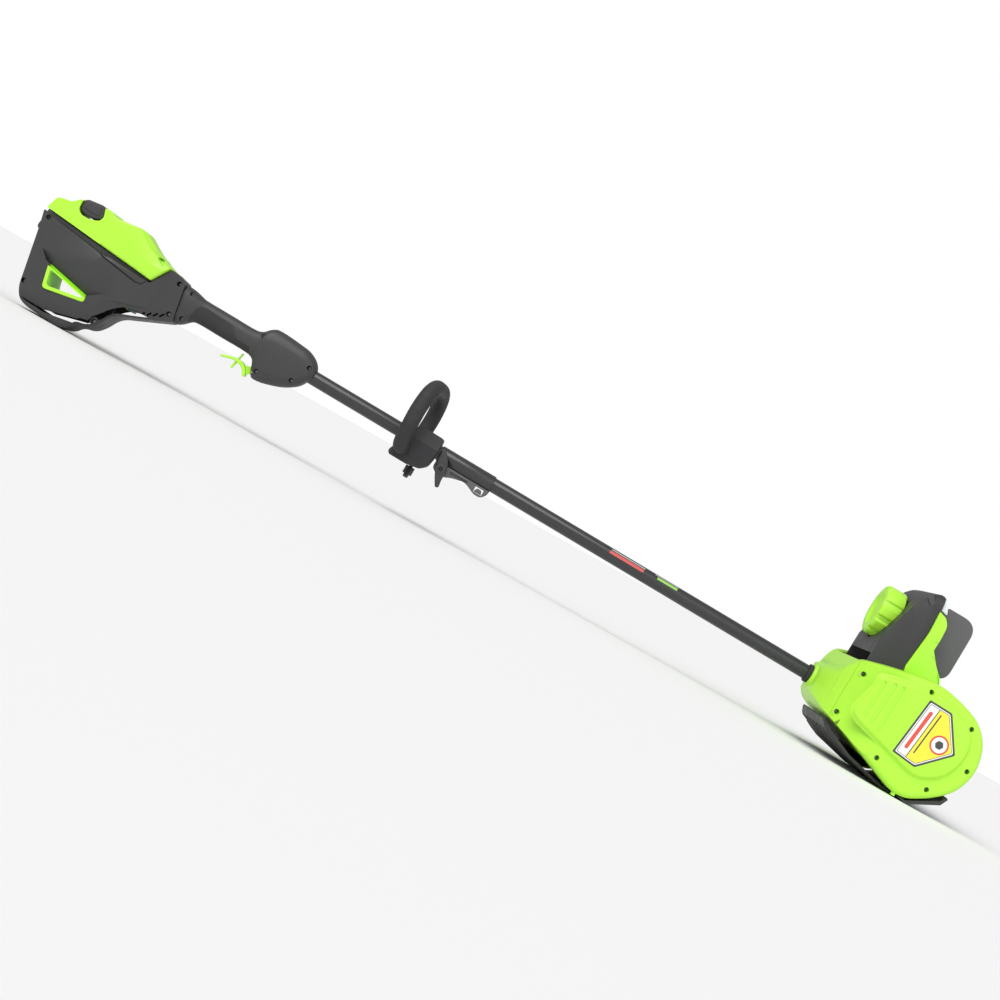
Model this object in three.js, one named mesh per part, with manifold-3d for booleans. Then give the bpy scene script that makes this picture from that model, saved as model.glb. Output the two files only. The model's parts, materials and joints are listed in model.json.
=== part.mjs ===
// A battery power snow shovel: a rear battery housing and trigger grip, a two-piece shaft with a loop
// handle and a clamp coupler, and a driven head with a paddle rotor, a chute hood and steerable vanes.
//
// Everything is in millimetres. The tool frame has +X along the shaft towards the head, +Z up and +Y to
// the operator's left-hand side when facing the head; its datum is the plane inside the coupler where
// the two tubes meet, on the shaft axis. The whole tool is then tilted and lifted, so that it lies on
// z = 0 on the belly of its rear housing and the heel of its scraper.
import * as THREE from "three";
import { mergeVertices } from "three/addons/utils/BufferGeometryUtils.js";
import Module from "manifold-3d";

const wasm = await Module();
wasm.setup();

// ---------------------------------------------------------------- driving dimensions
const GAP = 0.3; // clearance between pieces that touch
const WALL = 3; // moulded shell thickness

const TUBE_R = 12;
const TUBE_WALL = 1.5;
const COLLAR_X = -530; // joint between rear housing and grip
const GRIP_END = 242; // grip length ahead of that joint
const LOOP_X = -102; // loop handle plane on the shaft axis
const SLEEVE_R = 13.8;
const SLEEVE_LENGTH = 99;
const HEAD_X = 833; // rotor axis
const NECK_X = -182; // where the tube enters the head, from the rotor axis
const CHUTE_X = -6; // the hood, vanes and knob are drawn from a line this far behind the rotor axis

const BELLY_LOW = -140; // lowest line of the rear housing, below the shaft axis
const BELLY_X = -677;
const HEEL_LOW = -96.5; // lowest line of the scraper, below the shaft axis
const HEEL_X = HEAD_X + 10;
const TILT = Math.atan2(HEEL_LOW - BELLY_LOW, HEEL_X - BELLY_X);

const HEAD_HALF = 148; // outer face of the rotor chamber's left wall
const DRIVE_WALL = 130; // outer face of its right wall; the belt runs outside it
const COVER_HALF = 166; // half width over the side covers
const ROTOR_R = 68;
const SCROLL_R = 73; // inner radius of the rotor chamber
const MOTOR = { x: -104, z: 22, r: 21, y0: -124, y1: -50 };
const BELT_Y = [-139, -132];
const PULLEY_R = { drive: 12, driven: 42 };
const HOOD_HALF = 85;
const VANE = { pitch: 50, pivotZ: 147, x0: -78, x1: 0, z0: 97, z1: 203, thick: 3 };
const KNOB = { x: -145, depth: 34, r: 43 };

// ---------------------------------------------------------------- materials
const plastic = (color, roughness) => new THREE.MeshStandardMaterial({ color, roughness, metalness: 0 });
const metal = (color, roughness) => new THREE.MeshStandardMaterial({ color, roughness, metalness: 0.9 });
const GREEN = plastic(0xa6e22e, 0.4);
const CHARCOAL = plastic(0x39393a, 0.5);
const GREY = plastic(0x6a6a6b, 0.5);
const RUBBER = plastic(0x1c1c1c, 0.85);
const PAINTED_TUBE = metal(0x2f3031, 0.35);
const STEEL = metal(0xb8babd, 0.3);
const COPPER = metal(0xa86b3c, 0.4);
const BOARD = plastic(0x1f5a34, 0.5);
const LENS = plastic(0xdfe6ea, 0.1);

// ---------------------------------------------------------------- geometry to solid and back
function toSolid(geometry) {
  const bare = geometry.index ? geometry.toNonIndexed() : geometry.clone();
  for (const name of Object.keys(bare.attributes)) {
    if (name !== "position") bare.deleteAttribute(name);
  }
  const merged = mergeVertices(bare, 1e-4);
  return new wasm.Manifold(
    new wasm.Mesh({
      numProp: 3,
      vertProperties: merged.attributes.position.array,
      triVerts: new Uint32Array(merged.index.array),
    }),
  );
}

function toGeometry(solid) {
  const mesh = solid.getMesh();
  const geometry = new THREE.BufferGeometry();
  geometry.setAttribute("position", new THREE.BufferAttribute(mesh.vertProperties, 3));
  geometry.setIndex(new THREE.BufferAttribute(mesh.triVerts, 1));
  geometry.computeVertexNormals();
  return geometry;
}

const join = (first, ...rest) => rest.reduce((sum, next) => sum.add(next), first);
const cut = (first, ...rest) => rest.reduce((left, next) => left.subtract(next), first);

// ---------------------------------------------------------------- shapes
// The polygon of a closed outline given as [a, b, cornerRadius] points; a corner with a radius is rounded.
function polygon(points, segments) {
  return points.flatMap(([a, b, radius = 0], i) => {
    const here = new THREE.Vector2(a, b);
    if (radius === 0) return [here];
    const before = new THREE.Vector2(...points.at(i - 1).slice(0, 2)).sub(here);
    const after = new THREE.Vector2(...points[(i + 1) % points.length].slice(0, 2)).sub(here);
    const reach = Math.min(Math.max(radius, 0.2), before.length() / 2.1, after.length() / 2.1);
    const start = before.setLength(reach).add(here);
    const end = after.setLength(reach).add(here);
    return new THREE.QuadraticBezierCurve(start, here, end).getPoints(segments);
  });
}

// An outline moved inwards by a distance, for the hollow of a shell.
function inset(points, distance) {
  const area = points.reduce((sum, [a, b], i) => {
    const [c, d] = points[(i + 1) % points.length];
    return sum + a * d - c * b;
  }, 0);
  const side = Math.sign(area) * distance;
  return points.map(([a, b, radius = 0], i) => {
    const [pa, pb] = points.at(i - 1);
    const [na, nb] = points[(i + 1) % points.length];
    const u = new THREE.Vector2(a - pa, b - pb).normalize();
    const v = new THREE.Vector2(na - a, nb - b).normalize();
    const mid = new THREE.Vector2(-u.y - v.y, u.x + v.x);
    const scale = side / Math.max(0.35, 1 + u.dot(v));
    return [a + mid.x * scale, b + mid.y * scale, radius];
  });
}

// A closed body through flat rings of points, all rings alike in count.
function loft(rings) {
  const count = rings[0].length;
  const points = rings.flat();
  const faces = [];
  for (let r = 0; r + 1 < rings.length; r++) {
    for (let i = 0; i < count; i++) {
      const [a, b] = [r * count + i, r * count + ((i + 1) % count)];
      faces.push([a, b, b + count], [a, b + count, a + count]);
    }
  }
  const last = (rings.length - 1) * count;
  capFaces(rings[0]).forEach(([a, b, c]) => faces.push([a, c, b]));
  capFaces(rings.at(-1)).forEach(([a, b, c]) => faces.push([last + a, last + b, last + c]));
  const volume = faces.reduce(
    (sum, [a, b, c]) => sum + points[a].dot(new THREE.Vector3().crossVectors(points[b], points[c])),
    0,
  );
  const ordered = volume < 0 ? faces.map(([a, b, c]) => [a, c, b]) : faces;
  const geometry = new THREE.BufferGeometry();
  geometry.setAttribute("position", new THREE.Float32BufferAttribute(points.flatMap((p) => [...p]), 3));
  geometry.setIndex(ordered.flat());
  return toSolid(geometry);
}

// Triangles over a flat ring, wound the way the ring runs.
function capFaces(ring) {
  const flat = ["x", "y", "z"].find((axis) => ring.every((p) => Math.abs(p[axis] - ring[0][axis]) < 1e-6));
  const [a, b] = ["x", "y", "z"].filter((axis) => axis !== flat);
  const points = ring.map((p) => new THREE.Vector2(p[a], p[b]));
  const sense = Math.sign(THREE.ShapeUtils.area(points));
  return THREE.ShapeUtils.triangulateShape(points, []).map((face) => {
    const turn = THREE.ShapeUtils.area(face.map((index) => points[index]));
    return Math.sign(turn) === sense ? face : [face[0], face[2], face[1]];
  });
}

// How an outline's two coordinates and its depth turn into x, y and z.
const FACING = {
  side: [new THREE.Vector3(1, 0, 0), new THREE.Vector3(0, 0, 1), new THREE.Vector3(0, -1, 0)],
  plan: [new THREE.Vector3(1, 0, 0), new THREE.Vector3(0, 1, 0), new THREE.Vector3(0, 0, 1)],
  end: [new THREE.Vector3(0, 1, 0), new THREE.Vector3(0, 0, 1), new THREE.Vector3(1, 0, 0)],
};

// Extrudes an outline between two depths along an axis. A bevel rounds the edges of both end faces.
function extrude(facing, points, low, high, { bevel = 0, steps = 2, segments = 2 } = {}) {
  const turn = new THREE.Matrix4().makeBasis(...FACING[facing]);
  const [start, finish] = facing === "side" ? [-high, -low] : [low, high];
  if (bevel === 0) {
    const shape = new THREE.Shape(polygon(points, segments));
    const geometry = new THREE.ExtrudeGeometry(shape, { depth: finish - start, bevelEnabled: false });
    return toSolid(geometry.translate(0, 0, start).applyMatrix4(turn));
  }
  const layer = (distance, depth) =>
    polygon(inset(points, distance), segments).map((p) => new THREE.Vector3(p.x, p.y, depth).applyMatrix4(turn));
  const edge = Array.from({ length: steps + 1 }, (_, i) => {
    const angle = (Math.PI / 2) * (i / steps);
    return [bevel * (1 - Math.sin(angle)), bevel * (1 - Math.cos(angle))];
  });
  const lowRings = edge.map(([distance, depth]) => layer(distance, start + depth));
  const highRings = edge.map(([distance, depth]) => layer(distance, finish - depth)).reverse();
  return loft([...lowRings, ...highRings]);
}

const side = (points, y0, y1, options) => extrude("side", points, y0, y1, options);
const plan = (points, z0, z1, options) => extrude("plan", points, z0, z1, options);
const end = (points, x0, x1, options) => extrude("end", points, x0, x1, options);
const box = (x0, x1, y0, y1, z0, z1) => plan([[x0, y0], [x1, y0], [x1, y1], [x0, y1]], z0, z1);

// A bar with round ends, as outline points, from a to b with the given half width.
function slot([ax, az], [bx, bz], half) {
  const along = new THREE.Vector2(bx - ax, bz - az).setLength(half);
  const [u, v] = [along.x, along.y];
  const corners = [[ax - u + v, az - v - u], [bx + u + v, bz + v - u]];
  corners.push([bx + u - v, bz + v + u], [ax - u - v, az - v + u]);
  return corners.map((corner) => [...corner, half]);
}

// A cylinder along one axis: centre is the two coordinates across it, in x, y, z order.
function rod(axis, radius, low, high, [a, b] = [0, 0], sides = 16) {
  const geometry = new THREE.CylinderGeometry(radius, radius, high - low, sides);
  const mid = (low + high) / 2;
  if (axis === "x") geometry.rotateZ(-Math.PI / 2).translate(mid, a, b);
  if (axis === "y") geometry.translate(a, mid, b);
  if (axis === "z") geometry.rotateX(Math.PI / 2).translate(a, b, mid);
  return toSolid(geometry);
}

const ring = (axis, outer, inner, low, high, centre, sides) =>
  rod(axis, outer, low, high, centre, sides).subtract(rod(axis, inner, low - 1, high + 1, centre, sides));

// A thick line: outline points on both sides of an open path.
function stroke(path, thickness) {
  const sideOf = (sign) =>
    path.map(([a, b], i) => {
      const [pa, pb] = path[Math.max(0, i - 1)];
      const [na, nb] = path[Math.min(path.length - 1, i + 1)];
      const normal = new THREE.Vector2(-(nb - pb), na - pa).setLength((sign * thickness) / 2);
      return [a + normal.x, b + normal.y];
    });
  return [...sideOf(1), ...sideOf(-1).reverse()];
}

function arc([a, b], radius, fromDegrees, toDegrees, steps) {
  return Array.from({ length: steps + 1 }, (_, i) => {
    const angle = THREE.MathUtils.degToRad(fromDegrees + ((toDegrees - fromDegrees) * i) / steps);
    return [a + radius * Math.cos(angle), b + radius * Math.sin(angle)];
  });
}

// ---------------------------------------------------------------- scene graph
const tool = new THREE.Group();

function assembly(x, parent = tool) {
  const group = new THREE.Group();
  group.position.x = x;
  parent.add(group);
  return group;
}

function piece(parent, name, solid, material) {
  const mesh = new THREE.Mesh(toGeometry(solid), material);
  mesh.name = name;
  parent.add(mesh);
  return mesh;
}

// ---------------------------------------------------------------- battery
const BATTERY_SLOPE = Math.atan2(17, 204); // the slide runs up to the rear at this angle
const BATTERY_TOP = [
  [-260, 17, 3], [-253, 39, 4], [-226, 45, 6], [-218, 55, 6], [-206, 58, 4], [-164, 64, 6],
  [-153, 58, 8], [-104, 65, 8], [-68, 44, 14], [-37, 33, 2], [-56, 0, 2],
];
const BUTTON_PRESS = [-1, -2.8]; // travel of the battery's release button, along x and z
const BUTTON = [
  [-211, 43, 5], [-204, 37.5, 7], [-187, 37.5, 7], [-174, 43.5, 4], [-172, 48, 3], [-177, 62.5, 3],
  [-182, 64.5, 3], [-206, 61, 3], [-212, 57, 3],
];

function buildBattery(parent) {
  const upper = side(BATTERY_TOP, -41, 41, { bevel: 7 });
  const [pressX, pressZ] = BUTTON_PRESS;
  const pocket = side(inset(BUTTON, -0.8), -60, 60);
  const pressed = pocket.translate([pressX, 0, pressZ]);
  piece(parent, "battery_top_case", cut(upper, pocket, pressed, box(-245, -70, -36, 36, -10, 28)), GREEN);
  piece(parent, "battery_release_button", side(BUTTON, -39.5, 39.5, { bevel: 3 }), CHARCOAL);

  const slide = new THREE.Group();
  slide.rotation.y = BATTERY_SLOPE;
  slide.position.x = -56;
  parent.add(slide);
  const base = [[-200, -36, 6], [-4, -36, 6], [-4, -GAP, 1], [-200, -GAP, 1]];
  const grooves = [-1, 1].map((s) => box(-210, 10, s * 29 - 4.2, s * 29 + 4.2, -19.6, -14.4));
  const well = box(-186, -18, -27, 27, -31, 1);
  piece(slide, "battery_base_case", cut(side(base, -33, 33, { bevel: 2 }), ...grooves, well), CHARCOAL);
  piece(slide, "battery_cells", side([[-184, -30.5, 4], [-20, -30.5, 4], [-20, 10, 4], [-184, 10, 4]], -24, 24), GREY);
}

// ---------------------------------------------------------------- rear housing
const HOUSING = [
  [-261, 12, 3], [-254, -15, 20], [-233, -116, 12], [-222, -132, 12], [-206, -137, 8], [-147, BELLY_LOW, 8],
  [-133, -134, 6], [-124, -122, 8], [-104, -117, 10], [-92, -103, 12], [-79, -78, 14], [5, -40, 3],
  [-8, 27, 4], [-34, 33, 4], [-56, -3, 2], [-129, 1, 4], [-146, -2, 4],
];
const HAND_HOLE = [[-209, -58, 4], [-199, -99, 7], [-128, -85, 7], [-131, -73, 4]];
const HOUSING_PLAN = [
  [-270, -38, 4], [-120, -42, 10], [-66, -39, 20], [8, -25, 2], [8, 25, 2], [-66, 39, 20], [-120, 42, 10],
  [-270, 38, 4],
];
const HOUSING_SCREWS = [[-247, 4], [-230, -103], [-101, -102], [-6, -31], [-15, 19]];

function buildRearHousing(parent) {
  const outer = side(HOUSING, -42, 42, { bevel: 9 }).intersect(plan(HOUSING_PLAN, -150, 80));
  const hollow = side(inset(HOUSING, WALL), -42 + WALL, 42 - WALL, { bevel: 7, steps: 1 }).intersect(
    plan(inset(HOUSING_PLAN, WALL), -150, 80),
  );
  const sleeveAround = side(inset(HAND_HOLE, -WALL), -40, 40);
  const holes = side(HAND_HOLE, -60, 60);
  const vents = Array.from({ length: 5 }, (_, i) => {
    const x = -52 + i * 9;
    const z = -60 + i * 4.6;
    return side(slot([x, z], [x + 4, z + 6], 1.5), -60, 60);
  });
  const pocketGroup = new THREE.Matrix4()
    .makeTranslation(-56, 0, 0)
    .multiply(new THREE.Matrix4().makeRotationY(BATTERY_SLOPE));
  const inSlideFrame = (solid) => solid.transform(pocketGroup.elements);
  const tray = inSlideFrame(box(-198, 8, -39, 39, -40, -5)).intersect(outer);
  const bay = inSlideFrame(box(-260, -3.4, -33.6, 33.6, -36.6, 30));
  const rails = [-1, 1].map((s) => {
    const [near, far] = [s * 28, s * 35].sort((a, b) => a - b);
    return inSlideFrame(box(-196, -8, near, far, -19, -15));
  });
  const tubeWay = rod("x", TUBE_R + 2, -30, 20);
  const screwWays = HOUSING_SCREWS.map(([x, z]) => rod("y", 3.8, -60, -30, [x, z], 10));
  const shell = join(cut(outer, hollow), sleeveAround.intersect(outer), tray);
  const body = join(cut(shell, holes, bay, tubeWay, ...vents), ...rails);
  const open = cut(body, ...screwWays);
  piece(parent, "rear_housing_right", cut(open, box(-300, 50, -GAP / 2, 90, -200, 90)), CHARCOAL);
  piece(parent, "rear_housing_left", cut(open, box(-300, 50, -90, GAP / 2, -200, 90)), CHARCOAL);

  const rim = side(inset(HAND_HOLE, GAP), -43, 43, { bevel: 1, steps: 1 });
  const opening = side(inset(HAND_HOLE, 4.5), -60, 60);
  piece(parent, "hand_hole_liner", cut(rim, opening), GREEN);
  piece(parent, "terminal_block", box(-48.4, -36, -18, 18, -33, -14), BOARD);
  piece(parent, "controller_board", side([[-118, -52, 2], [-62, -60, 2], [-62, -54, 2], [-118, -46, 2]], -22, 22), BOARD);
}

// ---------------------------------------------------------------- grip with trigger
// Each station: x, top z, bottom z, half width.
const GRIP_STATIONS = [
  [-4, 25, -39, 25], [8, 24, -39, 25], [18, 22, -33, 23], [28, 19.5, -23, 20], [40, 19, -20, 18.5],
  [80, 19, -20, 18.5], [122, 19, -20, 18.5], [136, 23, -22, 20], [144, 31, -28, 22], [151, 36, -44, 23.5],
  [158, 38, -52, 24], [175, 38, -50, 24.5], [200, 36, -42, 24.5], [216, 34, -34, 24], [230, 28, -23, 22],
  [GRIP_END - 4, 21, -11, 18], [GRIP_END, 15, -9, 15],
];
const TRIGGER_PIVOT = [155, -42];
const LOCK_PIVOT = [122, -39];

function gripSection([x, top, bottom, half], shrink) {
  const squareness = 2.6;
  const sides = 18;
  return Array.from({ length: sides }, (_, i) => {
    const angle = (2 * Math.PI * (i + 0.5)) / sides;
    const bend = (v) => Math.sign(v) * Math.abs(v) ** (2 / squareness);
    const mid = (top + bottom) / 2;
    const y = (half - shrink) * bend(Math.cos(angle));
    const z = mid + ((top - bottom) / 2 - shrink) * bend(Math.sin(angle));
    return new THREE.Vector3(x, y, z);
  });
}

function buildGrip(parent) {
  const outer = loft(GRIP_STATIONS.map((station) => gripSection(station, 0)));
  const inner = loft(GRIP_STATIONS.map((station) => gripSection(station, WALL)));
  const tray = rod("x", TUBE_R + 4, 150, GRIP_END - 1);
  const front = cut(outer, box(-50, GRIP_END - 12, -60, 60, -90, 90));
  const bore = rod("x", TUBE_R + GAP, 140, GRIP_END + 20);
  const rearTrim = side([[-40, 90], [-7, 28], [6, -42], [0, -90], [-40, -90]], -60, 60);
  const triggerSlot = box(131, 172, -6, 6, -70, -24);
  const lockSlot = box(104, 134, -3.2, 3.2, -30, -12);
  const pinWay = rod("y", 2 + GAP, -17, 17, TRIGGER_PIVOT, 10);
  const shell = join(cut(outer, inner), front, tray.intersect(outer));
  const body = cut(shell, bore, rearTrim, triggerSlot, lockSlot, pinWay);
  piece(parent, "grip_right", cut(body, box(-20, 300, -GAP / 2, 90, -200, 90)), CHARCOAL);
  piece(parent, "grip_left", cut(body, box(-20, 300, -90, GAP / 2, -200, 90)), CHARCOAL);

  const blade = [
    [94, -47, 2], [97, -42.5, 2], [118, -35.5, 8], [134, -36, 12], [144, -46, 5], [147, -55.5, 2],
    [142, -56.5, 2], [137, -46, 8], [126, -41.5, 8], [116, -41, 6],
  ];
  const arm = [[135, -40, 2], [152, -35, 3], [160, -38, 4], [160, -46, 4], [150, -48, 3], [141, -54, 1]];
  const trigger = cut(
    join(side(blade, -9, 9, { bevel: 1.5, steps: 1 }), side(arm, -4, 4)),
    rod("y", 2 + GAP, -20, 20, TRIGGER_PIVOT, 10),
    box(117.5, 126, -3, 3, -60, -20),
  );
  piece(parent, "trigger", trigger, GREEN);
  const lever = [[124, -24, 1.5], [127, -24.5, 1.5], [123.5, -44, 0], [121.5, -54, 1.6], [117.5, -53.5, 1.6], [119.8, -44, 0]];
  piece(parent, "lock_off_lever", side(lever, -2.3, 2.3), GREEN);
  piece(parent, "trigger_pin", rod("y", 2, -16, 16, TRIGGER_PIVOT, 10), STEEL);
  piece(parent, "trigger_switch", side([[166, -36, 1], [190, -36, 1], [190, -20, 1], [166, -20, 1]], -7, 7), BOARD);
}

// ---------------------------------------------------------------- shaft, loop handle and coupler
function buildShaft() {
  const tubeGap = 1.5; // the two tube ends stop just short of each other
  const upperStart = COLLAR_X + 152;
  const upper = ring("x", TUBE_R, TUBE_R - TUBE_WALL, upperStart, -tubeGap, [0, 0], 24);
  piece(tool, "upper_tube", upper, PAINTED_TUBE);
  const lower = ring("x", TUBE_R, TUBE_R - TUBE_WALL, tubeGap, HEAD_X + NECK_X + 40, [0, 0], 24);
  piece(tool, "lower_tube", lower, PAINTED_TUBE);
  piece(tool, "upper_power_cable", rod("x", 4, COLLAR_X - 30, -22, [0, 0], 8), RUBBER);
  piece(tool, "lower_power_cable", rod("x", 4, 22, HEAD_X + MOTOR.x - 8, [0, 0], 8), RUBBER);
  piece(tool, "upper_plug", rod("x", TUBE_R - TUBE_WALL - GAP, -21.7, -3, [0, 0], 12), RUBBER);
  piece(tool, "lower_socket", rod("x", TUBE_R - TUBE_WALL - GAP, 3, 21.7, [0, 0], 12), RUBBER);
}

const LOOP = { half: 62, top: 87, low: -22, r: 13, yaw: THREE.MathUtils.degToRad(-8.7) };
const CLAMP = { half: 31, top: 23.4, low: -42.5 }; // around the tube, from the loop plane
const CLAMP_SIDE = [
  [-1.5, 14, 3], [4, 22, 4], [11, CLAMP.top, 3], [48, 22.5, 4], [50, 3, 2], [49, -12, 2], [46, -29, 5], [35, -39, 4],
  [15, CLAMP.low, 2], [-17, CLAMP.low, 4], [-21, -37, 3],
];

function buildLoopHandle() {
  const group = assembly(LOOP_X);
  const corner = (y, z) => new THREE.Vector3(0, y, z);
  const route = [
    corner(-22, LOOP.low - 2), corner(-48, LOOP.low + 6), corner(-LOOP.half, 18), corner(-LOOP.half - 3, 46),
    corner(-LOOP.half + 8, 72), corner(-30, LOOP.top - 1), corner(0, LOOP.top + 1), corner(30, LOOP.top - 1),
    corner(LOOP.half - 8, 72), corner(LOOP.half + 3, 46), corner(LOOP.half, 18), corner(48, LOOP.low + 6),
    corner(22, LOOP.low - 2),
  ];
  const section = new THREE.Shape().absellipse(0, 0, LOOP.r, LOOP.r, 0, 2 * Math.PI);
  const bar = new THREE.ExtrudeGeometry(section, {
    steps: 32,
    curveSegments: 6,
    extrudePath: new THREE.CatmullRomCurve3(route),
  }).rotateZ(LOOP.yaw);
  const fromAbove = [[-24, -26, 8], [52, -CLAMP.half + 1, 8], [52, CLAMP.half - 1, 8], [-24, 26, 8]];
  const whole = side(CLAMP_SIDE, -CLAMP.half, CLAMP.half, { bevel: 4 }).intersect(plan(fromAbove, -60, 40));
  const block = (z0, z1) => whole.intersect(box(-60, 90, -60, 60, z0, z1));
  const bore = rod("x", TUBE_R + GAP, -60, 90, [0, 0], 24);
  const boltWay = rod("z", 3.4, -60, 18, [22, 19], 10);
  const saddle = join(toSolid(bar), block(-60, -GAP / 2));
  piece(group, "loop_handle", cut(saddle, bore, boltWay), RUBBER);
  piece(group, "handle_clamp_cap", cut(block(GAP / 2, 40), bore, boltWay), CHARCOAL);

  const knob = assembly(22, group);
  const wing = [[-9, CLAMP.low - 1, 2], [9, CLAMP.low - 1, 2], [17, CLAMP.low - 18, 3], [7, CLAMP.low - 20, 4], [-7, CLAMP.low - 20, 4], [-17, CLAMP.low - 18, 3]];
  const nut = end(wing, -4, 4, { bevel: 1.5, steps: 1 });
  const hub = rod("z", 8, CLAMP.low - 14, CLAMP.low - GAP, [0, 0], 14);
  const placed = join(nut, hub).translate([0, 19, 0]);
  piece(knob, "handle_wing_knob", cut(placed, rod("z", 3.2, -70, CLAMP.low - 4, [0, 19], 10)).add(
    rod("z", 3, CLAMP.low - 6, 14, [0, 19], 10)), CHARCOAL);
}

const CLAMP_BOLT = [-35, -21];

function buildCoupler() {
  const half = SLEEVE_LENGTH / 2;
  piece(tool, "coupler_sleeve", ring("x", SLEEVE_R, TUBE_R + 0.15, -half, half, [0, 0], 24), PAINTED_TUBE);

  const profile = [
    [-48, -12, 3], [-49, -24, 6], [-40, -31, 6], [-26, -31, 6], [-14, -25, 12], [8, -20, 20], [20, -24, 6], [30, -29, 7],
    [43, -29, 7], [50, -20, 5], [51, -12, 1],
  ];
  const saddle = side(profile, -9, 9, { bevel: 2, steps: 1 });
  const ribWell = side([[-20, -16, 1], [14, -16, 1], [12, -18.5, 1], [-18, -22, 2]], 5, 12);
  const ribWellNear = side([[-20, -16, 1], [14, -16, 1], [12, -18.5, 1], [-18, -22, 2]], -12, -5);
  const buttonWell = box(27.5, 42.5, -20, 20, -25.5, -16);
  const clampSplit = box(-60, -24, -1.2, 1.2, -40, -10);
  const bracket = cut(
    saddle, rod("x", SLEEVE_R + GAP, -70, 70, [0, 0], 24), rod("y", 3 + GAP, -20, 20, CLAMP_BOLT, 12),
    ribWell, ribWellNear, buttonWell, clampSplit,
  );
  piece(tool, "coupler_bracket", bracket, GREY);
  piece(tool, "coupler_release_button", side([[28, -25, 1], [42, -25, 1], [39, -17.5, 2], [31, -17.5, 2]], -10, 10, { bevel: 1, steps: 1 }), GREY);

  const bar = [
    [-48, 6, 4], [-42, 7, 4], [-36, -6, 6], [-25, -20, 6], [-25, -28, 5], [-22, -49, 4], [-28, -51, 4], [-35, -34, 6],
    [-44, -24, 6], [-44, -14, 6],
  ];
  const knob = join(side(bar, -23, -14.4, { bevel: 2, steps: 1 }), rod("y", 8.5, -24, -9.4, CLAMP_BOLT, 16));
  piece(tool, "coupler_wing_knob", knob.add(rod("y", 3, -12, 10, CLAMP_BOLT, 12)), CHARCOAL);
  const nut = rod("y", 5.5, 9.3, 13.5, CLAMP_BOLT, 6).subtract(rod("y", 3 + GAP, 9, 14, CLAMP_BOLT, 12));
  piece(tool, "coupler_clamp_nut", nut, STEEL);
}

// ---------------------------------------------------------------- head
// Side outline of the green body, from the rotor axis.
const HEAD_SIDE = [
  [-182, 22, 3], [-182, -22, 6], [-174, -28, 8], [-160, -37, 10], [-20, -91, 14], [5, -90, 18], [41, -68, 26],
  [68, -40.5, 26], [79, 0, 30], [68, 41, 26], [43, 68, 26], [7, 80.5, 20], [-37, 88.5, 24], [-100, 75.5, 24],
  [-145, 62, 8], [-153, 55, 10], [-160, 43, 8], [-166, 26, 4],
];
const HEAD_PLAN = [
  [-182, 40, 10], [-182, -40, 10], [-168, -84, 22], [-146, -122, 24], [-116, -152, 26], [-84, -COVER_HALF, 20],
  [92, -COVER_HALF, 2], [92, COVER_HALF, 2], [-84, COVER_HALF, 20], [-116, 152, 26], [-146, 122, 24], [-168, 84, 22],
];
const PANEL = [
  [-131, 50, 8], [-129, 36, 12], [-141, -9, 6], [-137, -20, 6], [-121, -28.5, 6], [-12, -57, 12], [8, -54.5, 10],
  [37, -37, 16], [50, -10, 16], [54, 20, 20], [42, 50, 20], [7, 70, 20], [-38, 78, 20], [-98, 66, 16], [-124, 58, 8],
];
const PANEL_RISE = 6;
const PANEL_SLOPE = 8; // width of the sloping edge round the panel
const COVER_SCREWS = [[-140, 42], [-46, 70.5], [36, 53], [63, -6], [24, -61], [-66, -58], [-145, -29]];
const FIRST_SCREW_Y = 128; // the narrow end of the cover lies closer in
const innerFace = (sign) => (sign < 0 ? DRIVE_WALL : HEAD_HALF);

function headEnvelope(distance, steps = 2) {
  return side(inset(HEAD_SIDE, distance), -COVER_HALF, COVER_HALF, { bevel: 6 + distance, steps }).intersect(
    plan(inset(HEAD_PLAN, distance), -120, 120),
  );
}

// In plan, the line where a side cover meets the rest of the head, as [x, distance from the middle].
function coverEdge(sign, gap) {
  const face = innerFace(sign);
  const turn = -130 + (face - 110) * 0.6;
  return [[-151 - gap, 96 - 3 * gap], [-130 - gap, 112 - 2 * gap], [turn - gap, face - gap]];
}

function sideCover(sign) {
  const inner = innerFace(sign) + GAP;
  const edge = [...coverEdge(sign, 0).slice(0, 2), [coverEdge(sign, 0)[2][0], inner], [100, inner], [100, 190], [-151, 190]];
  const region = plan(edge.map(([x, y]) => [x, sign * y]), -130, 130);
  const shell = cut(headEnvelope(0), headEnvelope(WALL, 1)).intersect(region);
  const between = (from, to) => [sign * from, sign * to].sort((a, b) => a - b);
  const lip = side(inset(HEAD_SIDE, 0.2), ...between(inner, inner + 3));
  const lipHollow = side(inset(HEAD_SIDE, 9), ...between(inner - 5, inner + 20));
  const rim = cut(lip, lipHollow).intersect(region).intersect(headEnvelope(0));
  const layer = (distance, depth) =>
    polygon(inset(PANEL, distance), 2).map((p) => new THREE.Vector3(p.x, sign * (COVER_HALF + depth), p.y));
  const raised = loft([layer(0, -2), layer(0, 0), layer(PANEL_SLOPE, PANEL_RISE)]);
  const screwWays = COVER_SCREWS.map(([x, z]) => {
    const depth = x < -120 ? FIRST_SCREW_Y - 8 : COVER_HALF - 1.5;
    return rod("y", 3.9, ...between(depth, 200), [x, z], 10);
  });
  return cut(join(shell, rim, raised), ...screwWays);
}

function buildSideCovers(group) {
  const vents = [0, 1, 2].map((i) =>
    side(slot([-114 + i * 14.5, -8 - i * 5], [-114 + i * 14.5, 40 + i * 4], 3), -180, -170.2),
  );
  piece(group, "side_cover_right", cut(sideCover(-1), ...vents), GREEN);
  piece(group, "side_cover_left", sideCover(1), GREEN);
}

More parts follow.
